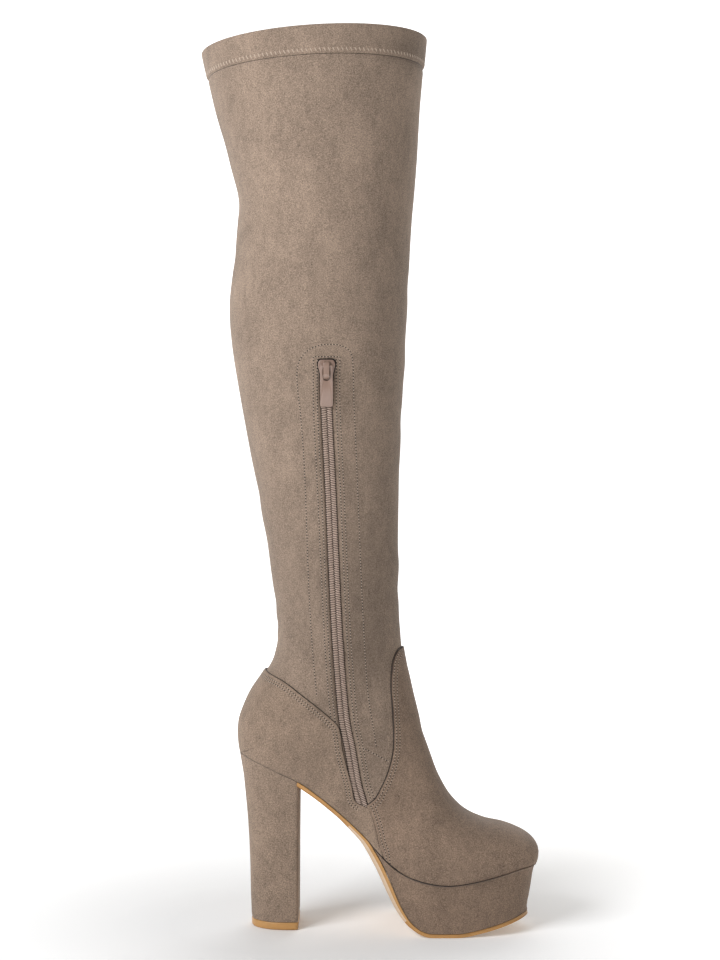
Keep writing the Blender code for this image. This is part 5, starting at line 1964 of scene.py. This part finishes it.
def surface_tree(name):
    """A finished piece as a search tree, for lines that are projected onto it."""
    return BVHTree.FromObject(bpy.data.objects[name], bpy.context.evaluated_depsgraph_get())


def projected(tree, line, side):
    """Points and normals where level lines of sight through a side view line meet a piece from this side."""
    found = [tree.ray_cast(Vector((x, side, z)), Vector((0, -side, 0)))[:2] for x, z in line]
    found = [(place, normal) for place, normal in found if place is not None]
    return np.array([place for place, normal in found]), np.array([normal for place, normal in found])


# %% Rows beside the zip and round its facing
# Each row's distance behind and before the zip's middle line, and the height of its top
ZIP_ROWS_OUT = ((0.0068, 0.0073, 0.4302), (0.0097, 0.0099, 0.4324))
ZIP_ROWS_BELOW = 0.003

# x and z of the arched row of the facing, and of the short row that carries it on to the vamp
FACING_LINE = (
    (0.0326, 0.18), (0.029, 0.22), (0.0267, 0.26), (0.0252, 0.305), (0.0238, 0.348), (0.0215, 0.3842),
    (0.0188, 0.41), (0.0187, 0.4235), (0.0215, 0.4315), (0.0275, 0.4375), (0.036, 0.4408), (0.0449, 0.4415),
    (0.053, 0.44), (0.0582, 0.4355), (0.0599, 0.4263), (0.0606, 0.4), (0.0619, 0.3694), (0.0643, 0.3111),
    (0.0665, 0.2573), (0.0695, 0.1997), (0.072, 0.174), (0.0755, 0.153), (0.0772, 0.1415),
)
CREASE_LINE = ((0.0666, 0.1408), (0.0746, 0.1362), (0.0862, 0.1296))


def box_line(behind, before, top):
    """A side view line up behind the zip, square over its top and down before it."""
    middle = np.column_stack((ZIP_X, ZIP_Z))[1:-1]
    way = unit(np.gradient(middle, axis=0))
    aside = np.column_stack((way[:, 1], -way[:, 0]))
    back, front = middle - behind * aside, middle + before * aside
    back, front = (line[line[:, 1] < top - 0.0008] for line in (back, front))
    corners = [(back[-1, 0], top), (front[-1, 0], top)]
    return resampled(np.vstack((back, corners, front[::-1])), LINE_STEP)


def sew_zip():
    tree = surface_tree("upper_suede")
    rows = []
    for behind, before, top in ZIP_ROWS_OUT:
        line = box_line(behind, before, top)
        line = line[line[:, 1] > ZIP_FOOT_Z - ZIP_ROWS_BELOW]
        rows.append(sewn(*projected(tree, line, -1)))
    knots = np.array(FACING_LINE)
    facing = between(knots, np.linspace(0, len(knots) - 1, 900))
    short = resampled(np.array(CREASE_LINE), LINE_STEP)
    rows.extend(sewn(*projected(tree, line, -1)) for line in (facing, short))
    add_stitches("zip_stitching", rows)


sew_zip()

# %% Rows inside the panels' edges
VAMP_INSETS = (0.0023, 0.0048)
COUNTER_INSETS = (0.0026, 0.0048)


def inset_line(shares, inset):
    """A drawn edge moved in by inset, without the loops that this makes at its corners."""
    edge = side_line(shares, LINE_STEP)
    moved = side_line(shares, LINE_STEP, -inset)
    nearest = np.sqrt(((moved[:, None] - edge[None]) ** 2).sum(axis=2).min(axis=1))
    return moved[nearest > 0.97 * inset]


def round_both_sides(name, line):
    """Points and normals of a side view line on a piece: along its inner side, then back along its outer."""
    tree = surface_tree(name)
    inner, outer = (projected(tree, line, side) for side in (-1, 1))
    return [np.concatenate((going, coming[::-1])) for going, coming in zip(inner, outer)]


def sew_panels():
    rows = []
    for inset in VAMP_INSETS:
        line = inset_line(SEAM_EDGE[::-1] + VAMP_EDGE, inset)
        rows.append(sewn(*round_both_sides("vamp_panel", line)))
    for inset in COUNTER_INSETS:
        line = inset_line(COUNTER_TOP, inset)[::-1]
        rows.append(sewn(*round_both_sides("counter_panel", line)))
    add_stitches("panel_stitching", rows)


sew_panels()

# %% [markdown]
# ## Dark lines where panels end
#
# A folded edge keeps dust and shade in the narrow gap at its foot, and the photo shows that gap as a fine
# near black line. Light bounces into so thin a gap in a render, so a flat dark thread lies in it.

# %% Edge lines
EDGE_STEP = 0.0008
EDGE_STRANDS = 4
EDGE_SHIFT = 0.0002
EDGE_HALF_HEIGHT = 0.00022
PANEL_LINE_HALF = 0.00036
HEM_LINE_HALF = 0.00040
SEAM_LINE_HALF = 0.00042
SEAM_LINE_OUT = 0.0001
SEAM_LINE_ROWS = ((0.3, 8.7), (9.7, 11.3))
ROUND_COLLAR = np.linspace(-1, 1, 1600)


def edge_line(line, normals, width):
    """Flat bars that overlap end to end along a line, in four sets of slightly different width."""
    places, ways, outs = along_line(line, normals, EDGE_STEP)
    uneven = width * (0.75 + 0.25 * np.sin(places[:, 2] * 2300 + places[:, 0] * 3100))
    parts = []
    for first in range(EDGE_STRANDS):
        at = slice(first, None, EDGE_STRANDS)
        half_width = float(uneven[at].mean())
        parts.append(bars(places[at], ways[at], outs[at], EDGE_STEP * 0.8, half_width, EDGE_HALF_HEIGHT))
    return joined(parts)


def make_edge_lines():
    """The panels' top edges on both sides, the hem's groove, and the seam between platform and upper."""
    tree = surface_tree("upper_suede")
    parts = [
        edge_line(*projected(tree, side_line(edge, LINE_STEP, EDGE_SHIFT), side), PANEL_LINE_HALF)
        for edge in (VAMP_EDGE, COUNTER_TOP)
        for side in (-1, 1)
    ]
    groove = np.array([below_collar(HEM_WIDTH + 0.0007)])
    groove_line = on_skin(groove, ROUND_COLLAR, 0.0)[0]
    parts.append(edge_line(groove_line, outward(groove, ROUND_COLLAR)[0], HEM_LINE_HALF))
    for first, last in SEAM_LINE_ROWS:
        sides = edges(np.linspace(first, last, 500), SOLE_OUT + SEAM_LINE_OUT)
        for k, sign in enumerate((-1, 1)):
            normals = unit(level_normals(sides[:, k], sign))
            parts.append(edge_line(sides[:, k], normals, SEAM_LINE_HALF))
    # Painted shade, with some dust: near black threads at the panels' edges, in the hem's groove and along
    # the seam.
    mesh = make_mesh("edge_lines", *joined(parts), materials=[HOLE_SHADE], weld=0)
    add_piece("edge_lines", outward_faces(mesh))


make_edge_lines()

# %% Overlock on the hem
HEM_PITCH = 0.0033
HEM_STITCH = 0.0031
HEM_STITCH_ABOVE = 0.0004
UPRIGHT_HALF = (0.00062, 0.0005)
SLOPING_HALF = (0.00024, 0.00022)
PRICK_HALF = (0.0013, 0.00042, 0.0003)
PRICK_UP = 0.22


def collar_line(above):
    """The line round the collar this far above the hem's lower edge."""
    return on_skin(np.array([below_collar(HEM_WIDTH - above)]), ROUND_COLLAR, 0.0)[0]


def sew_hem():
    """Upright bars just above the hem's groove, each with a slanted one to the next, all round the collar."""
    out = outward(np.array([below_collar(HEM_WIDTH)]), ROUND_COLLAR)[0]
    low, _, outs = along_line(collar_line(HEM_STITCH_ABOVE), out, HEM_PITCH)
    high = along_line(collar_line(HEM_STITCH_ABOVE + HEM_STITCH), out, HEM_PITCH)[0]
    count = min(len(low), len(high))
    low, high, outs = low[:count], high[:count], outs[:count]
    up = high - low
    upright = bars((low + high) / 2, up, outs, HEM_STITCH / 2, *UPRIGHT_HALF)
    slope_middles = (high[:-1] + low[1:]) / 2
    sloping = bars(slope_middles, low[1:] - high[:-1], outs[:-1], HEM_STITCH * 0.6, *SLOPING_HALF)
    between_them = (high[:-1] + high[1:] + low[:-1] + low[1:]) / 4
    # Dark pricks between the hem's stitches: painted shade in the needle holes.
    holes = bars(between_them + PRICK_UP * up[:-1], up[:-1], outs[:-1], *PRICK_HALF)
    add_stitches("hem_stitching", [(joined((upright, sloping)), holes)])


sew_hem()
